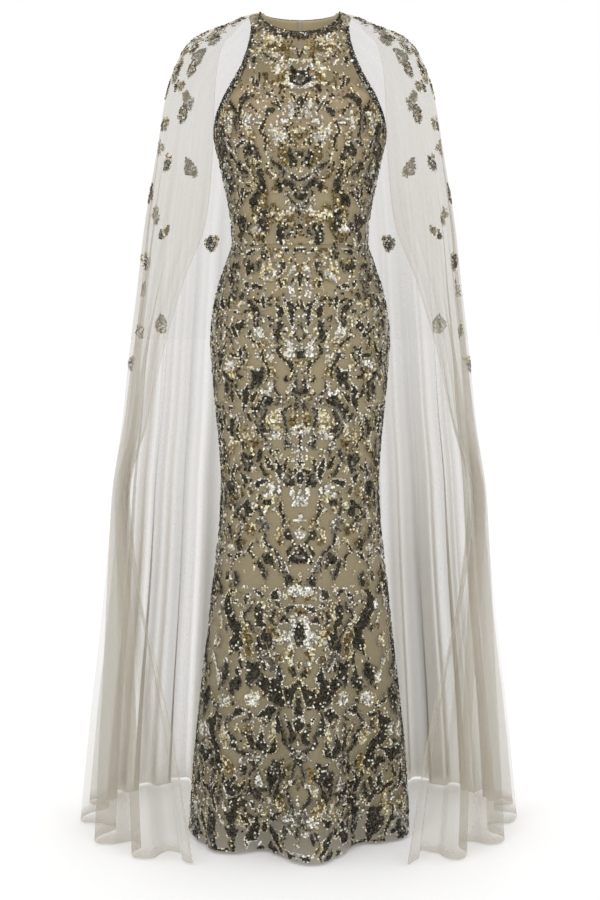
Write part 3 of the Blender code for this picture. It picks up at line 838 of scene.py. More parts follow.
@dataclass(frozen=True)
class Small:
    """One small part, modelled once: its points about the origin and its faces."""

    points: Array
    faces: Array

    @classmethod
    def taken_from(cls, made: bpy.types.Object) -> "Small":
        """Read a modelled part and remove its object."""
        mesh = made.data
        points = np.array([vertex.co for vertex in mesh.vertices])
        faces = np.array([face.vertices for face in mesh.polygons])
        bpy.data.objects.remove(made)
        return cls(points, faces)

    def copies(self, name: str, at: Array, axes: tuple[Array, Array, Array], size: Array) -> bpy.types.Object:
        """Join turned and scaled copies in one mesh.

        Args:
            name: object name.
            at: where each copy lies.
            axes: directions of each copy's X, Y and Z.
            size: scale of each copy.

        Returns:
            The joined copies.
        """
        turned = sum(self.points[None, :, k, None] * axes[k][:, None, :] for k in range(3))
        vertices = at[:, None, :] + turned * size[:, None, None]
        starts = np.arange(len(at))[:, None, None] * len(self.points)
        faces = (starts + self.faces[None]).reshape(-1, self.faces.shape[1])
        mesh = bpy.data.meshes.new(name)
        mesh.from_pydata(vertices.reshape(-1, 3), [], faces)
        made = bpy.data.objects.new(name, mesh)
        bpy.context.scene.collection.objects.link(made)
        return made


def model_disc(cup: float) -> Small:
    """A six-sided disc of radius 1 with its middle pushed in."""
    deselect_all()
    bpy.ops.mesh.primitive_circle_add(vertices=6, radius=1.0, fill_type="TRIFAN")
    made = bpy.context.object
    bpy.ops.object.mode_set(mode="EDIT")
    bpy.ops.mesh.select_all(action="DESELECT")
    bpy.ops.object.mode_set(mode="OBJECT")
    for vertex in made.data.vertices:
        vertex.select = vertex.co.length < 0.5
    bpy.ops.object.mode_set(mode="EDIT")
    bpy.ops.transform.translate(value=(0.0, 0.0, -cup))
    bpy.ops.object.mode_set(mode="OBJECT")
    return Small.taken_from(made)


def model_tooth(bevel: float) -> Small:
    """One coil tooth about the origin, 1 wide, with softened edges."""
    deselect_all()
    bpy.ops.mesh.primitive_cube_add(size=1.0)
    made = bpy.context.object
    bpy.ops.object.mode_set(mode="EDIT")
    bpy.ops.mesh.select_all(action="SELECT")
    bpy.ops.mesh.bevel(offset=bevel, segments=1)
    bpy.ops.mesh.quads_convert_to_tris()
    bpy.ops.object.mode_set(mode="OBJECT")
    return Small.taken_from(made)


def axes_about(normals: Array, turn: Array) -> tuple[Array, Array, Array]:
    """Directions of copies that face along normals, each turned about its own."""
    helper = np.where(np.abs(normals[:, 2:3]) < 0.9, (0.0, 0.0, 1.0), (1.0, 0.0, 0.0))
    across = np.cross(helper, normals)
    across /= np.linalg.norm(across, axis=1, keepdims=True)
    up = np.cross(normals, across)
    c, s = np.cos(turn)[:, None], np.sin(turn)[:, None]
    return across * c + up * s, up * c - across * s, normals


@dataclass(frozen=True)
class Discs:
    """Joined discs: where they lie, which way they face, and their tones."""

    points: Array
    normals: Array
    tones: Array
    radius: Array
    seed: int
    tilt: float = 0.30
    cup: float = 0.28

    def build(self, name: str, material: bpy.types.Material) -> bpy.types.Object:
        """One mesh of six-sided cupped discs.

        Args:
            name: object name.
            material: sequin finish.

        Returns:
            The joined discs.
        """
        rng = np.random.default_rng(self.seed)
        count = len(self.points)
        normals = self.normals + rng.normal(0, self.tilt, (count, 3))
        normals /= np.linalg.norm(normals, axis=1, keepdims=True)
        disc = model_disc(self.cup)
        axes = axes_about(normals, rng.uniform(0, pi / 3, count))
        made = disc.copies(name, self.points, axes, self.radius)
        tone = made.data.attributes.new("tone", "FLOAT_COLOR", "POINT")
        colours = np.ones((count, len(disc.points), 4))
        colours[:, :, :3] = self.tones[:, None, :]
        tone.data.foreach_set("color", colours.ravel())
        paint(made, material)
        return made


# Embroidery: generic sprigs, scrolls and rosettes, mirrored about the centre line


class Shape(Enum):
    """Parts that a motif is put together from."""

    LEAF = 1
    DROP = 2
    ARC = 3
    DOT = 4
    SCROLL = 5


@dataclass(frozen=True)
class Part:
    """One part of a motif, in shares of the motif's height."""

    shape: Shape
    x: float
    z: float
    height: float
    width: float
    tilt: float
    fill: Tone
    rim: Tone


@dataclass(frozen=True)
class Band:
    """A level of the embroidery: where it lies, shares of dark and pale patches, and its motifs."""

    top: float
    bottom: float
    dark: float
    pale: float
    step_x: float
    step_z: float
    size: float


SPRIG = (
    Part(Shape.LEAF, 0.00, 0.02, 1.00, 0.30, 0, Tone.CHARCOAL, Tone.SILVER),
    Part(Shape.DROP, 0.27, 0.20, 0.52, 0.20, -28, Tone.CHARCOAL, Tone.CHAMPAGNE),
    Part(Shape.DROP, -0.27, 0.20, 0.52, 0.20, 28, Tone.CHARCOAL, Tone.CHAMPAGNE),
    Part(Shape.DOT, 0.00, 0.60, 0.18, 0.18, 0, Tone.BRONZE, Tone.SILVER),
    Part(Shape.DROP, 0.00, -0.62, 0.36, 0.17, 0, Tone.SILVER, Tone.PEWTER),
)
SCROLL = (
    Part(Shape.SCROLL, 0.00, 0.00, 1.10, 0.24, 6, Tone.CHARCOAL, Tone.CHAMPAGNE),
    Part(Shape.DOT, 0.26, 0.22, 0.20, 0.20, 0, Tone.SILVER, Tone.PEWTER),
    Part(Shape.LEAF, -0.28, -0.26, 0.46, 0.18, -24, Tone.BRONZE, Tone.CHAMPAGNE),
)
SPRAY = (
    Part(Shape.DOT, 0.00, 0.00, 0.26, 0.26, 0, Tone.SILVER, Tone.CHAMPAGNE),
    Part(Shape.DROP, 0.00, 0.42, 0.56, 0.24, 180, Tone.CHARCOAL, Tone.PEWTER),
    Part(Shape.DROP, 0.30, -0.24, 0.50, 0.22, -58, Tone.CHARCOAL, Tone.SILVER),
    Part(Shape.DROP, -0.30, -0.24, 0.50, 0.22, 58, Tone.CHARCOAL, Tone.SILVER),
    Part(Shape.LEAF, 0.00, -0.56, 0.44, 0.16, 0, Tone.BRONZE, Tone.SILVER),
)
STREAMER = (
    Part(Shape.SCROLL, 0.00, 0.00, 1.30, 0.17, 0, Tone.CHARCOAL, Tone.PEWTER),
    Part(Shape.DROP, 0.24, 0.24, 0.46, 0.18, 12, Tone.CHAMPAGNE, Tone.SILVER),
    Part(Shape.ARC, -0.16, -0.34, 0.42, 0.16, 120, Tone.PEWTER, Tone.SILVER),
)
MOTIFS = (SPRIG, SCROLL, SPRAY, STREAMER)

BANDS = (
    Band(-0.020, -0.105, 0.03, 0.86, 0.060, 0.060, 0.030),
    Band(-0.105, -0.205, 0.20, 0.60, 0.046, 0.056, 0.042),
    Band(-0.205, -0.400, 0.46, 0.44, 0.046, 0.058, 0.050),
    Band(-0.400, -0.600, 0.34, 0.26, 0.042, 0.054, 0.048),
    Band(-0.600, -0.880, 0.42, 0.36, 0.046, 0.064, 0.060),
    Band(-0.880, -1.080, 0.28, 0.18, 0.048, 0.066, 0.062),
    Band(-1.080, -1.380, 0.13, 0.08, 0.052, 0.104, 0.112),
    Band(-1.380, -1.500, 0.38, 0.18, 0.054, 0.070, 0.070),
    Band(-1.500, -1.520, 0.30, 0.25, 0.060, 0.060, 0.040),
)


@dataclass(frozen=True)
class Embroidery:
    """The layout of tones over a panel, from distance across its centre line and height."""

    bands: tuple[Band, ...]
    seed: int
    reach: float = 0.36
    warp: float = 0.016
    patch_width: float = 0.017
    tallness: float = 0.55
    rim_width: float = 0.0034
    halo: float = 0.0045
    # Towards the panel's sides the dark share grows and the pale share shrinks: painted shade where the sides
    # turn from the light.
    side_start: float = 0.060
    side_reach: float = 0.080
    side_painted_shade: float = 0.132
    side_painted_dimming: float = 0.5
    skipped: float = 0.15
    broad_share: float = 0.62
    pick_share: float = 0.6
    pick_broad: float = 0.026
    pick_narrow: float = 0.008
    silver_above: float = 0.60
    silver_centre: float = 0.12
    centre_reach: float = 0.025
    bronze_below: float = 0.42
    evenness: float = 0.40
    patch_gap: float = 0.025
    patch_rim: float = 0.03
    core_depth: float = 0.17
    core_pick: float = 0.5

    def noise(self, x: Array, z: Array, scale: float, shift: int) -> Array:
        """Smooth value noise, 0 to 1."""
        lattice = np.random.default_rng(self.seed + shift).random((256, 256))
        gx, gz = x / scale + 40, -z / scale + 3
        ix, iz = np.floor(gx).astype(int), np.floor(gz).astype(int)
        fx, fz = gx - ix, gz - iz
        fx, fz = fx * fx * (3 - 2 * fx), fz * fz * (3 - 2 * fz)
        ix, iz = ix % 255, iz % 255
        low = lattice[ix, iz] * (1 - fx) + lattice[ix + 1, iz] * fx
        high = lattice[ix, iz + 1] * (1 - fx) + lattice[ix + 1, iz + 1] * fx
        return low * (1 - fz) + high * fz

    def tones(self, across: Array, z: Array) -> tuple[Array, Array]:
        """Tone of each place, and whether it lies on the outline of a motif or patch.

        Args:
            across: signed distance from the centre line, in metres.
            z: height.

        Returns:
            Tone indices, BARE where the cloth shows, and true for outline places.
        """
        x = np.abs(across)
        bent_x = x + self.warp * (self.noise(x, z, 0.017, 5) - 0.5)
        bent_z = z + self.warp * (self.noise(x, z, 0.021, 6) - 0.5)
        found, outline = self.patches(bent_x, bent_z)
        rng = np.random.default_rng(self.seed)
        for band in self.bands:
            level = band.top - band.step_z * 0.4
            odd = False
            while level > band.bottom:
                place = 0.0 if odd else band.step_x * 0.5
                while place < self.reach:
                    on_centre = place == 0.0
                    shift = 0.0 if on_centre else rng.uniform(-0.22, 0.22) * band.step_x
                    drop = rng.uniform(-0.2, 0.2) * band.step_z
                    motif = MOTIFS[int(rng.integers(len(MOTIFS)))]
                    size = band.size * rng.uniform(0.8, 1.2)
                    turn = 0.0 if on_centre else rng.uniform(-22, 22)
                    if rng.random() > self.skipped:
                        at = (place + shift, level + drop)
                        self.stamp(motif, bent_x, bent_z, at, size, turn, found, outline)
                    place += band.step_x
                level -= band.step_z
                odd = not odd
        return found, outline

    def patches(self, x: Array, z: Array) -> tuple[Array, Array]:
        """Uneven dark patches with pale outlines, and pale glittering ones between them; towards the sides more
        dark and fewer pale ones, which is painted shade.
        """
        heights = np.array([-(band.top + band.bottom) / 2 for band in self.bands])
        # Painted shade: more dark and fewer pale sequins towards the sides.
        side = np.clip((x - self.side_start) / self.side_reach, 0, 1)
        dark = np.interp(-z, heights, [band.dark for band in self.bands]) + self.side_painted_shade * side
        pale = np.interp(-z, heights, [band.pale for band in self.bands]) * (1 - self.side_painted_dimming * side)
        cloud, glitter = self.cloud(x, z, 1), self.cloud(x, z, 3)
        broad, narrow = self.noise(x, z, self.pick_broad, 7), self.noise(x, z, self.pick_narrow, 8)
        pick = self.pick_share * broad + (1 - self.pick_share) * narrow
        silver_above = self.silver_above - self.silver_centre * (x < self.centre_reach)
        bright = np.where(pick > silver_above, TONES.index(Tone.SILVER), TONES.index(Tone.CHAMPAGNE))
        depth = cloud - (0.5 + self.evenness * (0.5 - dark))
        shine = glitter - (0.5 + self.evenness * (0.5 - pale / np.maximum(1 - dark, 0.3)))
        found = np.full(len(x), BARE)
        found[shine > 0] = np.where(pick < self.bronze_below, TONES.index(Tone.BRONZE), bright)[shine > 0]
        found[depth > -self.patch_gap] = BARE
        found[depth > 0.0] = bright[depth > 0.0]
        found[depth > self.patch_rim] = TONES.index(Tone.CHARCOAL)
        core = (depth > self.core_depth) & (pick > self.core_pick)
        found[core] = TONES.index(Tone.PEWTER)
        return found, (depth > 0.0) & (depth <= self.patch_rim)

    def cloud(self, x: Array, z: Array, shift: int) -> Array:
        """Noise for tall patches, of a broad and a narrow part."""
        broad = self.noise(x, z * self.tallness, self.patch_width, shift)
        narrow = self.noise(x, z * self.tallness, self.patch_width / 2, shift + 1)
        return self.broad_share * broad + (1 - self.broad_share) * narrow

    def stamp(self, motif: tuple[Part, ...], x: Array, z: Array, at: tuple[float, float],
              size: float, turn: float, found: Array, outline: Array) -> None:
        """Set the tones under one motif, with bare cloth round it.

        Args:
            motif: parts of the motif.
            x: places across.
            z: heights.
            at: middle of the motif.
            size: its height.
            turn: its turn in degrees.
            found: tone indices, changed here.
            outline: outline marks, changed here.
        """
        near = np.nonzero((np.abs(x - at[0]) < size) & (np.abs(z - at[1]) < size))[0]
        if not len(near):
            return
        c, s = np.cos(radians(turn)), np.sin(radians(turn))
        dx, dz = (x[near] - at[0]) / size, (z[near] - at[1]) / size
        dx, dz = dx * c + dz * s, -dx * s + dz * c
        depths = [part_depth(part, dx, dz) * size for part in motif]
        cleared = near[np.max(depths, axis=0) > -self.halo]
        found[cleared] = BARE
        outline[cleared] = False
        for part, depth in zip(motif, depths):
            rim = min(self.rim_width, part.width * size / 4)
            edge = near[(depth > 0) & (depth <= rim)]
            fill = near[depth > rim]
            found[edge] = TONES.index(part.rim)
            outline[edge] = True
            found[fill] = TONES.index(part.fill)
            outline[fill] = False


def part_depth(part: Part, x: Array, z: Array) -> Array:
    """How far inside a motif's part each place lies, in shares of the motif; below zero outside.

    Args:
        part: the part.
        x: places across, from the motif's centre.
        z: places up, from the motif's centre.

    Returns:
        Depth inside.
    """
    c, s = np.cos(radians(part.tilt)), np.sin(radians(part.tilt))
    px, pz = x - part.x, z - part.z
    px, pz = px * c + pz * s, -px * s + pz * c
    half = part.height / 2
    t = np.clip(pz / half, -1, 1)
    outside = np.maximum(np.abs(pz) - half, 0)
    if part.shape is Shape.LEAF:
        return part.width / 2 * (1 - t * t) - np.abs(px) - outside
    if part.shape is Shape.DROP:
        swell = np.sqrt(np.clip(1 - t * t, 0, 1)) * (1 - 0.55 * t)
        return part.width / 2 * swell - np.abs(px) - outside
    if part.shape is Shape.SCROLL:
        wave = 0.13 * part.height * np.sin(pi * t)
        return part.width / 2 * (1 - t**4) - np.abs(px - wave) - outside
    away = np.hypot(px, pz)
    if part.shape is Shape.DOT:
        return part.width / 2 - away
    turn = np.arctan2(pz, px)
    band = part.width / 2 - np.abs(away - half + part.width / 2)
    return np.where(np.abs(turn) < 1.9, band, -1.0)


def scatter(surface: Surface, pitch: float, seed: int) -> tuple[Array, Array, Array]:
    """Evenly spread places over a surface, in slightly uneven rows.

    Args:
        surface: gives points from across and down values.
        pitch: spacing.
        seed: seed of the unevenness.

    Returns:
        Across values, down values, and signed distance across from the middle of each row.
    """
    rng = np.random.default_rng(seed)
    fine = np.linspace(0, 1, 241)
    half = np.full_like(fine, 0.5)
    middle = surface(half, fine)
    down = np.concatenate(([0], np.cumsum(np.linalg.norm(np.diff(middle, axis=0), axis=1))))
    levels = np.interp(np.arange(pitch / 2, down[-1], pitch * 0.87), down, fine)
    all_a, all_b, all_across = [], [], []
    for index, level in enumerate(levels):
        row = surface(fine, np.full_like(fine, level))
        along = np.concatenate(([0], np.cumsum(np.linalg.norm(np.diff(row, axis=0), axis=1))))
        start = pitch * (0.25 + 0.5 * (index % 2))
        place = np.arange(start, along[-1], pitch)
        place = np.clip(place + rng.normal(0, pitch * 0.10, len(place)), 0, along[-1])
        all_a.append(np.interp(place, along, fine))
        all_b.append(np.clip(level + rng.normal(0, 0.10 * pitch / down[-1], len(place)), 0, 1))
        all_across.append(place - along[-1] / 2)
    return np.concatenate(all_a), np.concatenate(all_b), np.concatenate(all_across)


def tone_colours(index: Array, rng: np.random.Generator, painted_glint_share: float = 0.05) -> Array:
    """Colours of discs: their tone, uneven in brightness (random tone, partly painted sparkle), with some
    painted glints: discs made bright silver.
    """
    colour = TONE_TABLE[index] * np.exp(rng.normal(0, 1, len(index)) * UNEVEN_TABLE[index])[:, None]
    # Painted glints: a share of the discs, wherever they lie, takes a bright silver colour standing in for
    # catches of light.
    bright = rng.random(len(index)) < painted_glint_share
    colour[bright] = TONE_TABLE[TONES.index(Tone.SILVER)] * 1.2
    return np.clip(colour, 0.0, 0.92)


# Sub-assemblies


@dataclass
class Gown:
    """The fitted gown: net, lining, trims and embroidery."""

    sequin: bpy.types.Material
    sequin_radius: float = 0.0023
    outline_share: float = 0.72
    sequin_pitch: float = 0.0035
    bead_radius: float = 0.0014
    bead_pitch: float = 0.0021
    edge_share: float = 0.85

    def surfaces(self) -> dict[str, Surface]:
        """Outer faces of the six net panels, by node."""
        def front(a: Array, b: Array) -> Array:
            """Bodice front."""
            return FRONT_BODICE.points(2 * a - 1, b * BODICE_SECTIONS)

        def skirt_front(a: Array, b: Array) -> Array:
            """Skirt front."""
            return SKIRT.points(180 * a - 90, WAIST_Z - SEAM_GAP + b * (HEM_Z - WAIST_Z + SEAM_GAP))

        found: dict[str, Surface] = {"bodice_front": front, "skirt_front": skirt_front}
        for side, name in SIDES.items():
            found[f"bodice_back_{name}"] = self.back_bodice(side, SEAM_GAP)
            found[f"skirt_back_{name}"] = self.back_skirt(side, SEAM_GAP, HEM_Z)
        return found

    def back_bodice(self, side: int, gap: float) -> Surface:
        """One back of the bodice, side seam to centre back."""
        def back(a: Array, b: Array) -> Array:
            """Bodice back."""
            point = BACK_BODICE.points(side * (1 - a), b * BODICE_SECTIONS)
            point[:, 0] = side * np.maximum(side * point[:, 0], gap)
            return point
        return back

    def back_skirt(self, side: int, gap: float, hem: float) -> Surface:
        """One back of the skirt, side seam to centre back."""
        def back(a: Array, b: Array) -> Array:
            """Skirt back."""
            z = WAIST_Z - SEAM_GAP + b * (hem - WAIST_Z + SEAM_GAP)
            point = SKIRT.points(side * (90 + 90 * a), z)
            point[:, 0] = side * np.maximum(side * point[:, 0], gap)
            return point
        return back

    def build_net(self) -> None:
        """The six net panels."""
        net = WovenFinish("net_finish", (0.28, 0.235, 0.14), (0.34, 0.285, 0.17), 1200.0, 0.7, 0.42)
        cloth = net.material()
        for node, surface in self.surfaces().items():
            skirt = node.startswith("skirt")
            piece = lay_sheet(node + "_net", 90 if "front" in node else 45, 90 if skirt else 40, surface)
            paint(piece, cloth)
            declare(piece, surface, node)

    def heart(self, a: Array, b: Array) -> Array:
        """Front lining, below its heart-shaped top edge."""
        u = 2 * a - 1
        reach = np.abs(u)
        top = np.where(
            reach < 0.5,
            HEART_CENTRE + (HEART_PEAK - HEART_CENTRE) * np.sin(pi * reach),
            HEART_PEAK + (HEART_SIDE - HEART_PEAK) * (2 * reach - 1) ** 2,
        )
        return FRONT_BODICE.points(u, top + b * (BODICE_SECTIONS - top))

    def build_lining(self) -> None:
        """Lining of the bodice and skirt."""
        finish = WovenFinish("lining_finish", (0.45, 0.37, 0.21), (0.52, 0.425, 0.245), 1600.0, 0.5,
                             fade=Fade((0.27, 0.225, 0.13), -1.35, -0.50))
        cloth = finish.material()
        skin = WovenFinish("bust_lining_finish", (0.58, 0.43, 0.25), (0.66, 0.49, 0.29), 1600.0, 0.5,
                           fade=Fade((0.49, 0.40, 0.23), -0.28, -0.19))
        bust_cloth = skin.material()
        pieces: dict[str, Surface] = {"bodice_lining_front": self.heart}

        def skirt_front(a: Array, b: Array) -> Array:
            """Skirt lining front."""
            z = WAIST_Z - SEAM_GAP + b * (LINING_HEM_Z - WAIST_Z + SEAM_GAP)
            return SKIRT.points(180 * a - 90, z)

        pieces["skirt_lining_front"] = skirt_front
        for side, name in SIDES.items():
            pieces[f"bodice_lining_back_{name}"] = self.back_bodice(side, LINING_BACK_GAP)
            pieces[f"skirt_lining_back_{name}"] = self.back_skirt(side, LINING_BACK_GAP, LINING_HEM_Z)
        for node, surface in pieces.items():
            wide = "front" in node
            piece = lay_sheet(node + "_cloth", 56 if wide else 28, 48, surface, -LINING_DEPTH + 0.0007)
            thicken(piece, 0.0006)
            paint(piece, bust_cloth if node == "bodice_lining_front" else cloth)
            declare(piece, surface, node)

    def build_trims(self) -> None:
        """Neck band and armhole bindings: a narrow strip covered with close dark beads."""
        base = WovenFinish("trim_base_finish", (0.030, 0.027, 0.022), (0.060, 0.054, 0.042), 1200.0, 0.6)
        cloth = base.material()
        strips: dict[str, Surface] = {}

        def neck_front(a: Array, b: Array) -> Array:
            """Front neck band."""
            return FRONT_BODICE.points((2 * a - 1) * STRAP_SHARE, b * BAND_ROWS)

        strips["neck_band_front"] = neck_front
        for side, name in SIDES.items():
            def neck_back(a: Array, b: Array, side: int = side) -> Array:
                """Back neck band."""
                point = BACK_BODICE.points(side * STRAP_SHARE * (1 - a), b * BAND_ROWS)
                point[:, 0] = side * np.maximum(side * point[:, 0], SEAM_GAP)
                return point

            strips[f"neck_band_back_{name}"] = neck_back
            for half, shape in (("front", FRONT_BODICE), ("back", BACK_BODICE)):
                def binding(a: Array, b: Array, side: int = side, shape: BodiceShape = shape) -> Array:
                    """Armhole binding."""
                    place = BINDING_TOP + b * (BINDING_BOTTOM - BINDING_TOP)
                    return shape.points(side * (1 - BINDING_SHARE * a), place)

                strips[f"armhole_binding_{half}_{name}"] = binding
        for index, (node, surface) in enumerate(strips.items()):
            neck = node.startswith("neck")
            piece = lay_sheet(node + "_strip", 60 if neck else 6, 6 if neck else 60, surface, 0.0011)
            thicken(piece, 0.0007)
            paint(piece, cloth)
            panel = node.replace("neck_band", "bodice").replace("armhole_binding", "bodice")
            panel = "bodice_front" if "front" in panel else panel
            declare(piece, surface, node)
            a, b, _ = scatter(surface, self.bead_pitch, 40 + index)
            points, normals = surface_with_normals(surface, a, b)
            rng = np.random.default_rng(60 + index)
            pick = rng.choice(3, len(a), p=(0.62, 0.30, 0.08))
            # Three in a hundred beads get painted glints.
            tones = tone_colours(np.array((0, 1, 4))[pick], rng, 0.03)
            radius = np.full(len(a), self.bead_radius)
            beads = Discs(points + normals * 0.0016, normals, tones, radius, 70 + index, 0.35)
            made = beads.build(node + "_beads", self.sequin)
            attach(made, GOWN_BODY)

    def build_embroidery(self) -> None:
        """Sequins over each net panel, on a mirrored layout of generic sprigs and scrolls."""
        front = Embroidery(BANDS, 11)
        back = Embroidery(BANDS, 23)
        for index, (node, surface) in enumerate(self.surfaces().items()):
            a, b, across = scatter(surface, self.sequin_pitch, 100 + index)
            if "back" in node:
                across = self.from_centre_back(surface, a, b)
            points, normals = surface_with_normals(surface, a, b)
            layout = front if "front" in node else back
            index_of, outline = layout.tones(across, points[:, 2])
            keep = (index_of != BARE) & (points[:, 2] > HEM_Z + self.sequin_radius)
            keep &= ~self.under_trim(node, a, b)
            rng = np.random.default_rng(200 + index)
            edge = self.beside_trim(node, a, b) & (rng.random(len(a)) < self.edge_share)
            index_of[edge] = np.where(rng.random(len(a)) < 0.7, TONES.index(Tone.CHARCOAL),
                                      TONES.index(Tone.PEWTER))[edge]
            keep |= edge
            tones = tone_colours(index_of[keep], rng)
            radius = self.sequin_radius * rng.uniform(0.85, 1.15, int(keep.sum()))
            radius[outline[keep]] *= self.outline_share
            discs = Discs(points[keep] + normals[keep] * 0.0012, normals[keep], tones, radius, 300 + index)
            made = discs.build(node + "_sequins", self.sequin)
            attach(made, GOWN_BODY)
            LOG.info("%s: %d sequins", made.name, int(keep.sum()))

    def from_centre_back(self, surface: Surface, a: Array, b: Array) -> Array:
        """Distance from the centre back edge, along each row."""
        fine = np.linspace(0, 1, 61)
        levels = np.linspace(0, 1, 61)
        grid_a, grid_b = np.meshgrid(fine, levels)
        points = surface(grid_a.ravel(), grid_b.ravel()).reshape(61, 61, 3)
        along = np.linalg.norm(np.diff(points, axis=1), axis=2)
        left = np.concatenate((np.cumsum(along[:, ::-1], axis=1)[:, ::-1], np.zeros((61, 1))), axis=1)
        row = np.clip((b * 60).astype(int), 0, 60)
        place = a * 60
        low = np.clip(place.astype(int), 0, 59)
        share = place - low
        return left[row, low] * (1 - share) + left[row, low + 1] * share

    def under_trim(self, node: str, a: Array, b: Array) -> Array:
        """True where a bodice panel is covered by its neck band or armhole binding."""
        if not node.startswith("bodice"):
            return np.zeros(len(a), dtype=bool)
        u = np.abs(2 * a - 1) if node == "bodice_front" else 1 - a
        place = b * BODICE_SECTIONS
        band = (place < BAND_ROWS) & (u < STRAP_SHARE)
        binding = (place > BINDING_TOP) & (place < BINDING_BOTTOM) & (u > BINDING_START)
        return band | binding

    def beside_trim(self, node: str, a: Array, b: Array) -> Array:
        """True along the neck and armhole of a bodice panel, where dark sequins lie close."""
        if not node.startswith("bodice"):
            return np.zeros(len(a), dtype=bool)
        u = np.abs(2 * a - 1) if node == "bodice_front" else 1 - a
        place = b * BODICE_SECTIONS
        neck = (place >= BAND_ROWS) & (place < DARK_NECK_ROWS) & (u < STRAP_SHARE)
        arm = (place > BINDING_TOP) & (place < BINDING_BOTTOM) & (u > DARK_ARM_START) & (u <= BINDING_START)
        return neck | arm

    def build(self) -> None:
        """Build every piece of the gown."""
        self.build_net()
        self.build_lining()
        self.build_trims()
        self.build_embroidery()


@dataclass(frozen=True)
class Appliques:
    """Where small sequin clusters lie on the cape: share round, sections down, size, tilt, kind."""

    s: float
    place: float
    size: float
    tilt: float
    kind: int


CAPE_APPLIQUES = (
    Appliques(0.36, 1.2, 0.022, 20, 1),
    Appliques(0.40, 2.2, 0.026, -35, 0),
    Appliques(0.52, 2.7, 0.024, 10, 2),
    Appliques(0.24, 2.9, 0.020, 40, 1),
    Appliques(0.44, 3.4, 0.026, -20, 2),
    Appliques(0.30, 3.9, 0.022, 15, 0),
    Appliques(0.56, 3.9, 0.024, -10, 1),
    Appliques(0.40, 4.4, 0.026, 30, 2),
    Appliques(0.20, 4.7, 0.020, -30, 1),
    Appliques(0.34, 5.0, 0.024, 5, 0),
    Appliques(0.48, 5.2, 0.024, -25, 1),
    Appliques(0.26, 5.5, 0.022, 25, 2),
    Appliques(0.41, 5.8, 0.026, 10, 0),
    Appliques(0.62, 5.6, 0.022, 0, 2),
    Appliques(0.18, 6.1, 0.022, -15, 1),
    Appliques(0.33, 6.4, 0.024, 20, 2),
    Appliques(0.47, 6.8, 0.024, -10, 0),
    Appliques(0.24, 7.0, 0.022, 30, 0),
    Appliques(0.68, 6.9, 0.024, 15, 1),
    Appliques(0.38, 7.5, 0.024, 0, 1),
    Appliques(0.54, 7.8, 0.022, -20, 2),
    Appliques(0.20, 8.1, 0.020, 10, 2),
    Appliques(0.34, 8.6, 0.024, -15, 0),
    Appliques(0.78, 8.2, 0.022, 5, 0),
    Appliques(0.46, 9.0, 0.022, 20, 1),
    Appliques(0.28, 9.7, 0.020, 0, 2),
    Appliques(0.62, 9.6, 0.022, -10, 1),
    Appliques(0.40, 10.2, 0.020, 10, 0),
)
CLUSTERS = (
    (
        Part(Shape.LEAF, 0.0, 0.0, 1.0, 0.66, 0, Tone.CHARCOAL, Tone.CHAMPAGNE),
        Part(Shape.DOT, 0.26, 0.24, 0.34, 0.34, 0, Tone.BRONZE, Tone.CHAMPAGNE),
    ),
    (
        Part(Shape.DROP, 0.0, 0.06, 0.94, 0.56, 12, Tone.BRONZE, Tone.CHARCOAL),
        Part(Shape.DROP, 0.22, -0.24, 0.52, 0.40, -40, Tone.CHARCOAL, Tone.CHAMPAGNE),
    ),
    (
        Part(Shape.LEAF, -0.12, 0.08, 0.86, 0.54, 24, Tone.BRONZE, Tone.CHAMPAGNE),
        Part(Shape.DROP, 0.20, -0.10, 0.72, 0.42, -18, Tone.CHARCOAL, Tone.SILVER),
    ),
)


@dataclass(frozen=True)
class Ramp:
    """A share that rises from 0 at a start to 1 over a span."""

    start: float
    span: float

    def share(self, value: Array) -> Array:
        """Share at each value."""
        return np.clip((value - self.start) / self.span, 0, 1)


@dataclass(frozen=True)
class TulleCover:
    """What a cape panel's cover is made up of: shares of cover, and where each one applies. The same value
    darkens the tulle's colour, which is painted shade.
    """

    plain: float = 0.05
    upper: float = 0.12
    flank: float = 0.20
    folds: float = 0.20
    folds_at_top: float = 0.30
    hem: float = 0.08
    back: float = 0.14
    back_folds: float = 0.60
    edge: float = 0.60
    fall: Ramp = Ramp(0.10, 1.40)
    below_arm: Ramp = Ramp(0.35, 0.50)
    back_round: Ramp = Ramp(0.52, 0.09)
    back_fall: Ramp = Ramp(0.25, 0.80)
    near_hem: Ramp = Ramp(1.40, 0.12)
    outer_middle: float = 0.40
    outer_reach: float = 0.10
    front_edge: float = 0.004
    back_edge: float = 0.997
    hem_edge: float = 0.9985

    def at(self, a: Array, b: Array, depth: Array, flank: Array, close: Array) -> Array:
        """Cover of each place.

        Args:
            a: share round the panel, front edge to centre back.
            b: share down the panel.
            depth: distance below the neck.
            flank: how far each place is turned from the plain panel.
            close: how closely the tulle gathers there.

        Returns:
            Cover, 0 to 1.
        """
        fall = self.fall.share(depth)
        upper = 1 - self.below_arm.share(depth)
        outer = np.exp(-(((a - self.outer_middle) / self.outer_reach) ** 4)) * (1 - upper)
        behind = self.back_round.share(a) * self.back_fall.share(depth)
        folds = close * (self.folds_at_top + (1 - self.folds_at_top) * fall)
        value = self.plain + self.upper * upper + self.flank * flank + self.folds * folds
        value = value + self.hem * self.near_hem.share(depth)
        value = np.clip(value * (1 - outer) + behind * (self.back + self.back_folds * close), 0, 1)
        value[(a < self.front_edge) | (a > self.back_edge) | (b > self.hem_edge)] = self.edge
        return value


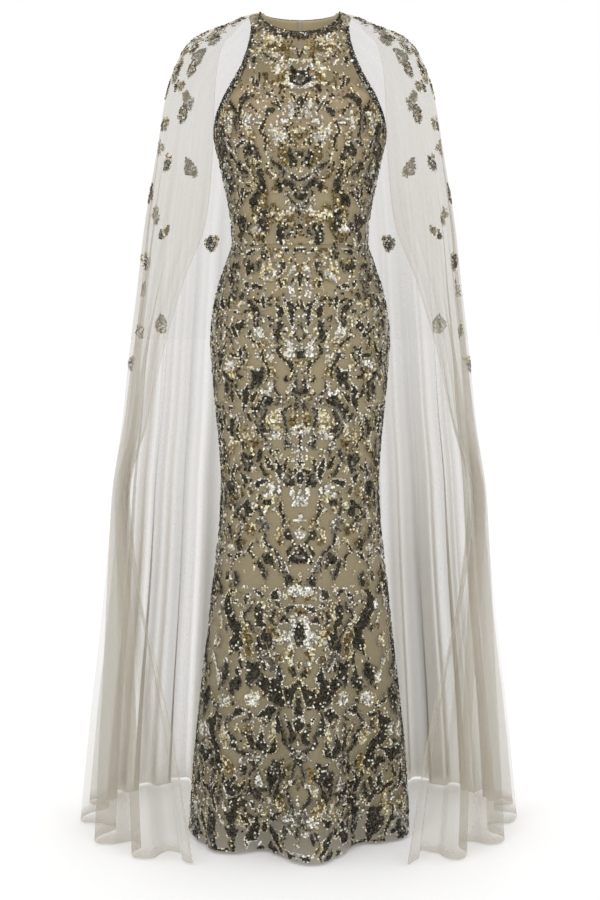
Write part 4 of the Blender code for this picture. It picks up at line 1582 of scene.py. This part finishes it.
@dataclass
class Cape:
    """Sheer tulle over each arm, with small sequin clusters on the upper part."""

    sequin: bpy.types.Material
    columns: int = 380
    rows: int = 100
    broad_folds: int = 24
    narrow_folds: int = 120
    cluster_scale: float = 1.65

    def surface(self, side: int) -> Surface:
        """Cape surface from across and down values."""
        def cape(a: Array, b: Array) -> Array:
            """Points of the cape."""
            return CAPE.points(a, b * CAPE_SECTIONS, side)
        return cape

    def cover(self, side: int) -> Callable[[Array, Array, Array, Array], Array]:
        """Cover of the tulle: more down the flanks of folds, along edges, behind and towards the hem; the
        tulle's colour darkens with it, which is painted shade.
        """
        def smooth(a: Array, b: Array) -> Array:
            """Cape without folds."""
            point = CAPE.smooth(a, b * CAPE_SECTIONS)
            point[:, 0] *= side
            return point

        def density(a: Array, b: Array, points: Array, normals: Array) -> Array:
            """Cover at each point."""
            plain = surface_with_normals(smooth, a, b)[1]
            flank = 1 - np.abs(np.sum(normals * plain, axis=1))
            return TulleCover().at(a, b, -points[:, 2], flank, self.closeness(a, side))
        return density

    def closeness(self, a: Array, side: int) -> Array:
        """How closely the tulle gathers across the panel, from broad and narrow folds, 0 to 1."""
        rng = np.random.default_rng(500 + side)
        broad = np.interp(a, np.linspace(0, 1, self.broad_folds), rng.random(self.broad_folds))
        narrow = np.interp(a, np.linspace(0, 1, self.narrow_folds), rng.random(self.narrow_folds))
        return np.clip(0.45 * broad + 0.75 * narrow - 0.1, 0, 1)

    def build_panel(self, side: int) -> None:
        """One tulle panel."""
        name = SIDES[side]
        surface = self.surface(side)
        piece = lay_sheet(f"cape_{name}_tulle", self.columns, self.rows, surface, 0.0006, self.cover(side))
        paint(piece, bpy.data.materials[TulleFinish.name])
        declare(piece, surface, f"cape_{name}")

    def build_clusters(self, side: int) -> None:
        """Sequin clusters on one panel."""
        name = SIDES[side]
        surface = self.surface(side)
        all_a, all_b, all_tones = [], [], []
        pitch = 0.0032
        for spot in CAPE_APPLIQUES:
            size = spot.size * self.cluster_scale
            reach = size * 0.65
            steps = np.arange(-reach, reach, pitch)
            grid_x, grid_z = np.meshgrid(steps, steps)
            grid_x[::2] += pitch / 2
            dx, dz = grid_x.ravel(), grid_z.ravel()
            c, s = np.cos(radians(spot.tilt)), np.sin(radians(spot.tilt))
            tone = np.full(len(dx), BARE)
            for part in CLUSTERS[spot.kind]:
                depth = part_depth(part, (dx * c + dz * s) / size, (-dx * s + dz * c) / size)
                tone[depth > 0] = TONES.index(part.rim)
                tone[depth > 0.09] = TONES.index(part.fill)
            here = np.array((spot.s,))
            level = np.array((spot.place / CAPE_SECTIONS,))
            step = 0.004
            wide = np.linalg.norm(surface(here + step, level) - surface(here - step, level)) / (2 * step)
            tall = np.linalg.norm(surface(here, level + step) - surface(here, level - step)) / (2 * step)
            keep = tone != BARE
            all_a.append(np.clip(spot.s + dx[keep] / wide, 0, 1))
            all_b.append(np.clip(spot.place / CAPE_SECTIONS - dz[keep] / tall, 0, 1))
            all_tones.append(tone[keep])
        a, b, tone = np.concatenate(all_a), np.concatenate(all_b), np.concatenate(all_tones)
        points, normals = surface_with_normals(surface, a, b)
        rng = np.random.default_rng(400 + side)
        radius = 0.0021 * rng.uniform(0.85, 1.15, len(a))
        discs = Discs(points + normals * 0.0008, normals, tone_colours(tone, rng), radius, 410 + side)
        made = discs.build(f"cape_{name}_sequins", self.sequin)
        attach(made, GOWN_BODY)
        LOG.info("%s: %d sequins", made.name, len(a))

    def build(self) -> None:
        """Build both sides."""
        TulleFinish().material()
        for side in SIDES:
            self.build_panel(side)
            self.build_clusters(side)


@dataclass
class Zip:
    """Concealed zip at centre back: its tape, teeth, slider and pull."""

    tooth_pitch: float = 0.0022
    tooth_width: float = 0.0026
    thin: float = 0.4
    stagger: float = 0.0004
    depth: float = 0.0034
    end_gap: float = 0.004

    def build_teeth(self) -> None:
        """A row of small coil teeth on the inner face of the tape."""
        low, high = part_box("zip_coil")
        levels = np.arange(high[2] - self.end_gap, low[2] + self.end_gap, -self.tooth_pitch)
        fine = np.linspace(0, BODICE_SECTIONS, 400)
        line = BACK_BODICE.points(np.zeros(len(fine)), fine)
        bodice_y = np.interp(-levels, -line[:, 2], line[:, 1])
        skirt_y = SKIRT.points(np.full(len(levels), 180.0), levels)[:, 1]
        y = np.where(levels > WAIST_Z, bodice_y, skirt_y) - self.depth
        x = np.where(np.arange(len(levels)) % 2, self.stagger, -self.stagger)
        at = np.stack((x, y, levels), axis=1)
        ones = np.ones((len(levels), 1))
        axes = tuple(ones * np.array(axis) for axis in ((1, 0, 0), (0, self.thin, 0), (0, 0, self.thin)))
        made = model_tooth(0.12).copies("zip_teeth", at, axes, np.full(len(levels), self.tooth_width))
        finish = WovenFinish("zip_teeth_finish", (0.40, 0.38, 0.33), (0.55, 0.52, 0.46), 900.0, 0.4)
        paint(made, finish.material())
        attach(made, GOWN_BODY)

    def dress(self) -> None:
        """Give the solid zip parts their finishes."""
        paint(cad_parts["zip_coil"],
              WovenFinish("zip_tape_finish", (0.46, 0.43, 0.37), (0.60, 0.57, 0.50), 1500.0, 0.75).material())
        metal = MetalFinish().material()
        for node in ("zip_slider", "zip_pull"):
            paint(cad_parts[node], metal)

    def build(self) -> None:
        """Build the teeth and dress the rest."""
        self.build_teeth()
        self.dress()


@dataclass
class Studio:
    """Pale floor, soft light and the camera at the photo's angle."""

    floor_z: float = HEM_Z - 0.004
    floor_radius: float = 14.0
    camera_y: float = -3.0
    camera_z: float = -0.391
    target_z: float = -0.798
    lens: float = 65.0

    def build_floor(self) -> None:
        """A wide round pale floor."""
        deselect_all()
        bpy.ops.mesh.primitive_circle_add(
            vertices=96, radius=self.floor_radius, fill_type="NGON", location=(0.0, 0.0, self.floor_z)
        )
        floor = bpy.context.object
        floor.name = "studio_floor"
        bpy.ops.object.transform_apply(location=True, rotation=True, scale=True)
        bench = Bench("floor_finish")
        bench.fixed(metallic=0.0)
        soft = bench.noise(2.0, 2.0)
        bench.link(bench.blend(soft, (0.95, 0.95, 0.95), (0.97, 0.97, 0.97)), bench.shader.inputs["Base Color"])
        bench.link(bench.spread(soft, 0.85, 0.95), bench.shader.inputs["Roughness"])
        bench.fixed(emission_color=(1.0, 1.0, 1.0, 1.0), emission_strength=0.08)
        paint(floor, bench.material)

    def add_lamp(self, name: str, at: tuple[float, float, float], size: float, power: float) -> None:
        """One soft square lamp aimed at the gown."""
        data = bpy.data.lights.new(name, "AREA")
        data.shape = "SQUARE"
        data.size = size
        data.energy = power
        lamp = bpy.data.objects.new(name, data)
        bpy.context.scene.collection.objects.link(lamp)
        lamp.location = at
        aim = Vector((0.0, 0.0, -0.75)) - Vector(at)
        lamp.rotation_euler = aim.to_track_quat("-Z", "Y").to_euler()

    def build_light(self) -> None:
        """Even white surround with two soft keys."""
        world = bpy.data.worlds.new("studio_world")
        bpy.context.scene.world = world
        world.use_nodes = True
        background = world.node_tree.nodes["Background"]
        background.inputs["Color"].default_value = (1.0, 1.0, 1.0, 1.0)
        background.inputs["Strength"].default_value = 1.0
        bpy.context.scene.view_settings.view_transform = "Standard"
        self.add_lamp("key_lamp", (-1.7, -2.8, 1.3), 0.5, 12.0)
        self.add_lamp("fill_lamp", (1.9, -2.6, 0.6), 0.7, 7.0)
        self.add_lamp("back_lamp", (0.4, 2.4, 1.4), 0.8, 7.0)

    def build_camera(self) -> None:
        """Camera level with the chest, tilted a little down."""
        data = bpy.data.cameras.new("photo_camera")
        data.lens = self.lens
        data.sensor_width = 36.0
        camera = bpy.data.objects.new("photo_camera", data)
        bpy.context.scene.collection.objects.link(camera)
        camera.location = (0.0, self.camera_y, self.camera_z)
        tilt = atan2(self.camera_z - self.target_z, -self.camera_y)
        camera.rotation_euler = (pi / 2 - tilt, 0.0, 0.0)
        bpy.context.scene.camera = camera

    def build(self) -> None:
        """Build the stage."""
        self.build_floor()
        self.build_light()
        self.build_camera()


def main() -> None:
    """Build the gown in order and report each piece."""
    logging.basicConfig(level=logging.INFO, format="%(name)s: %(message)s")
    sequin = SequinFinish().material()
    Studio().build()
    Gown(sequin).build()
    Cape(sequin).build()
    Zip().build()


if __name__ == "__main__":
    main()
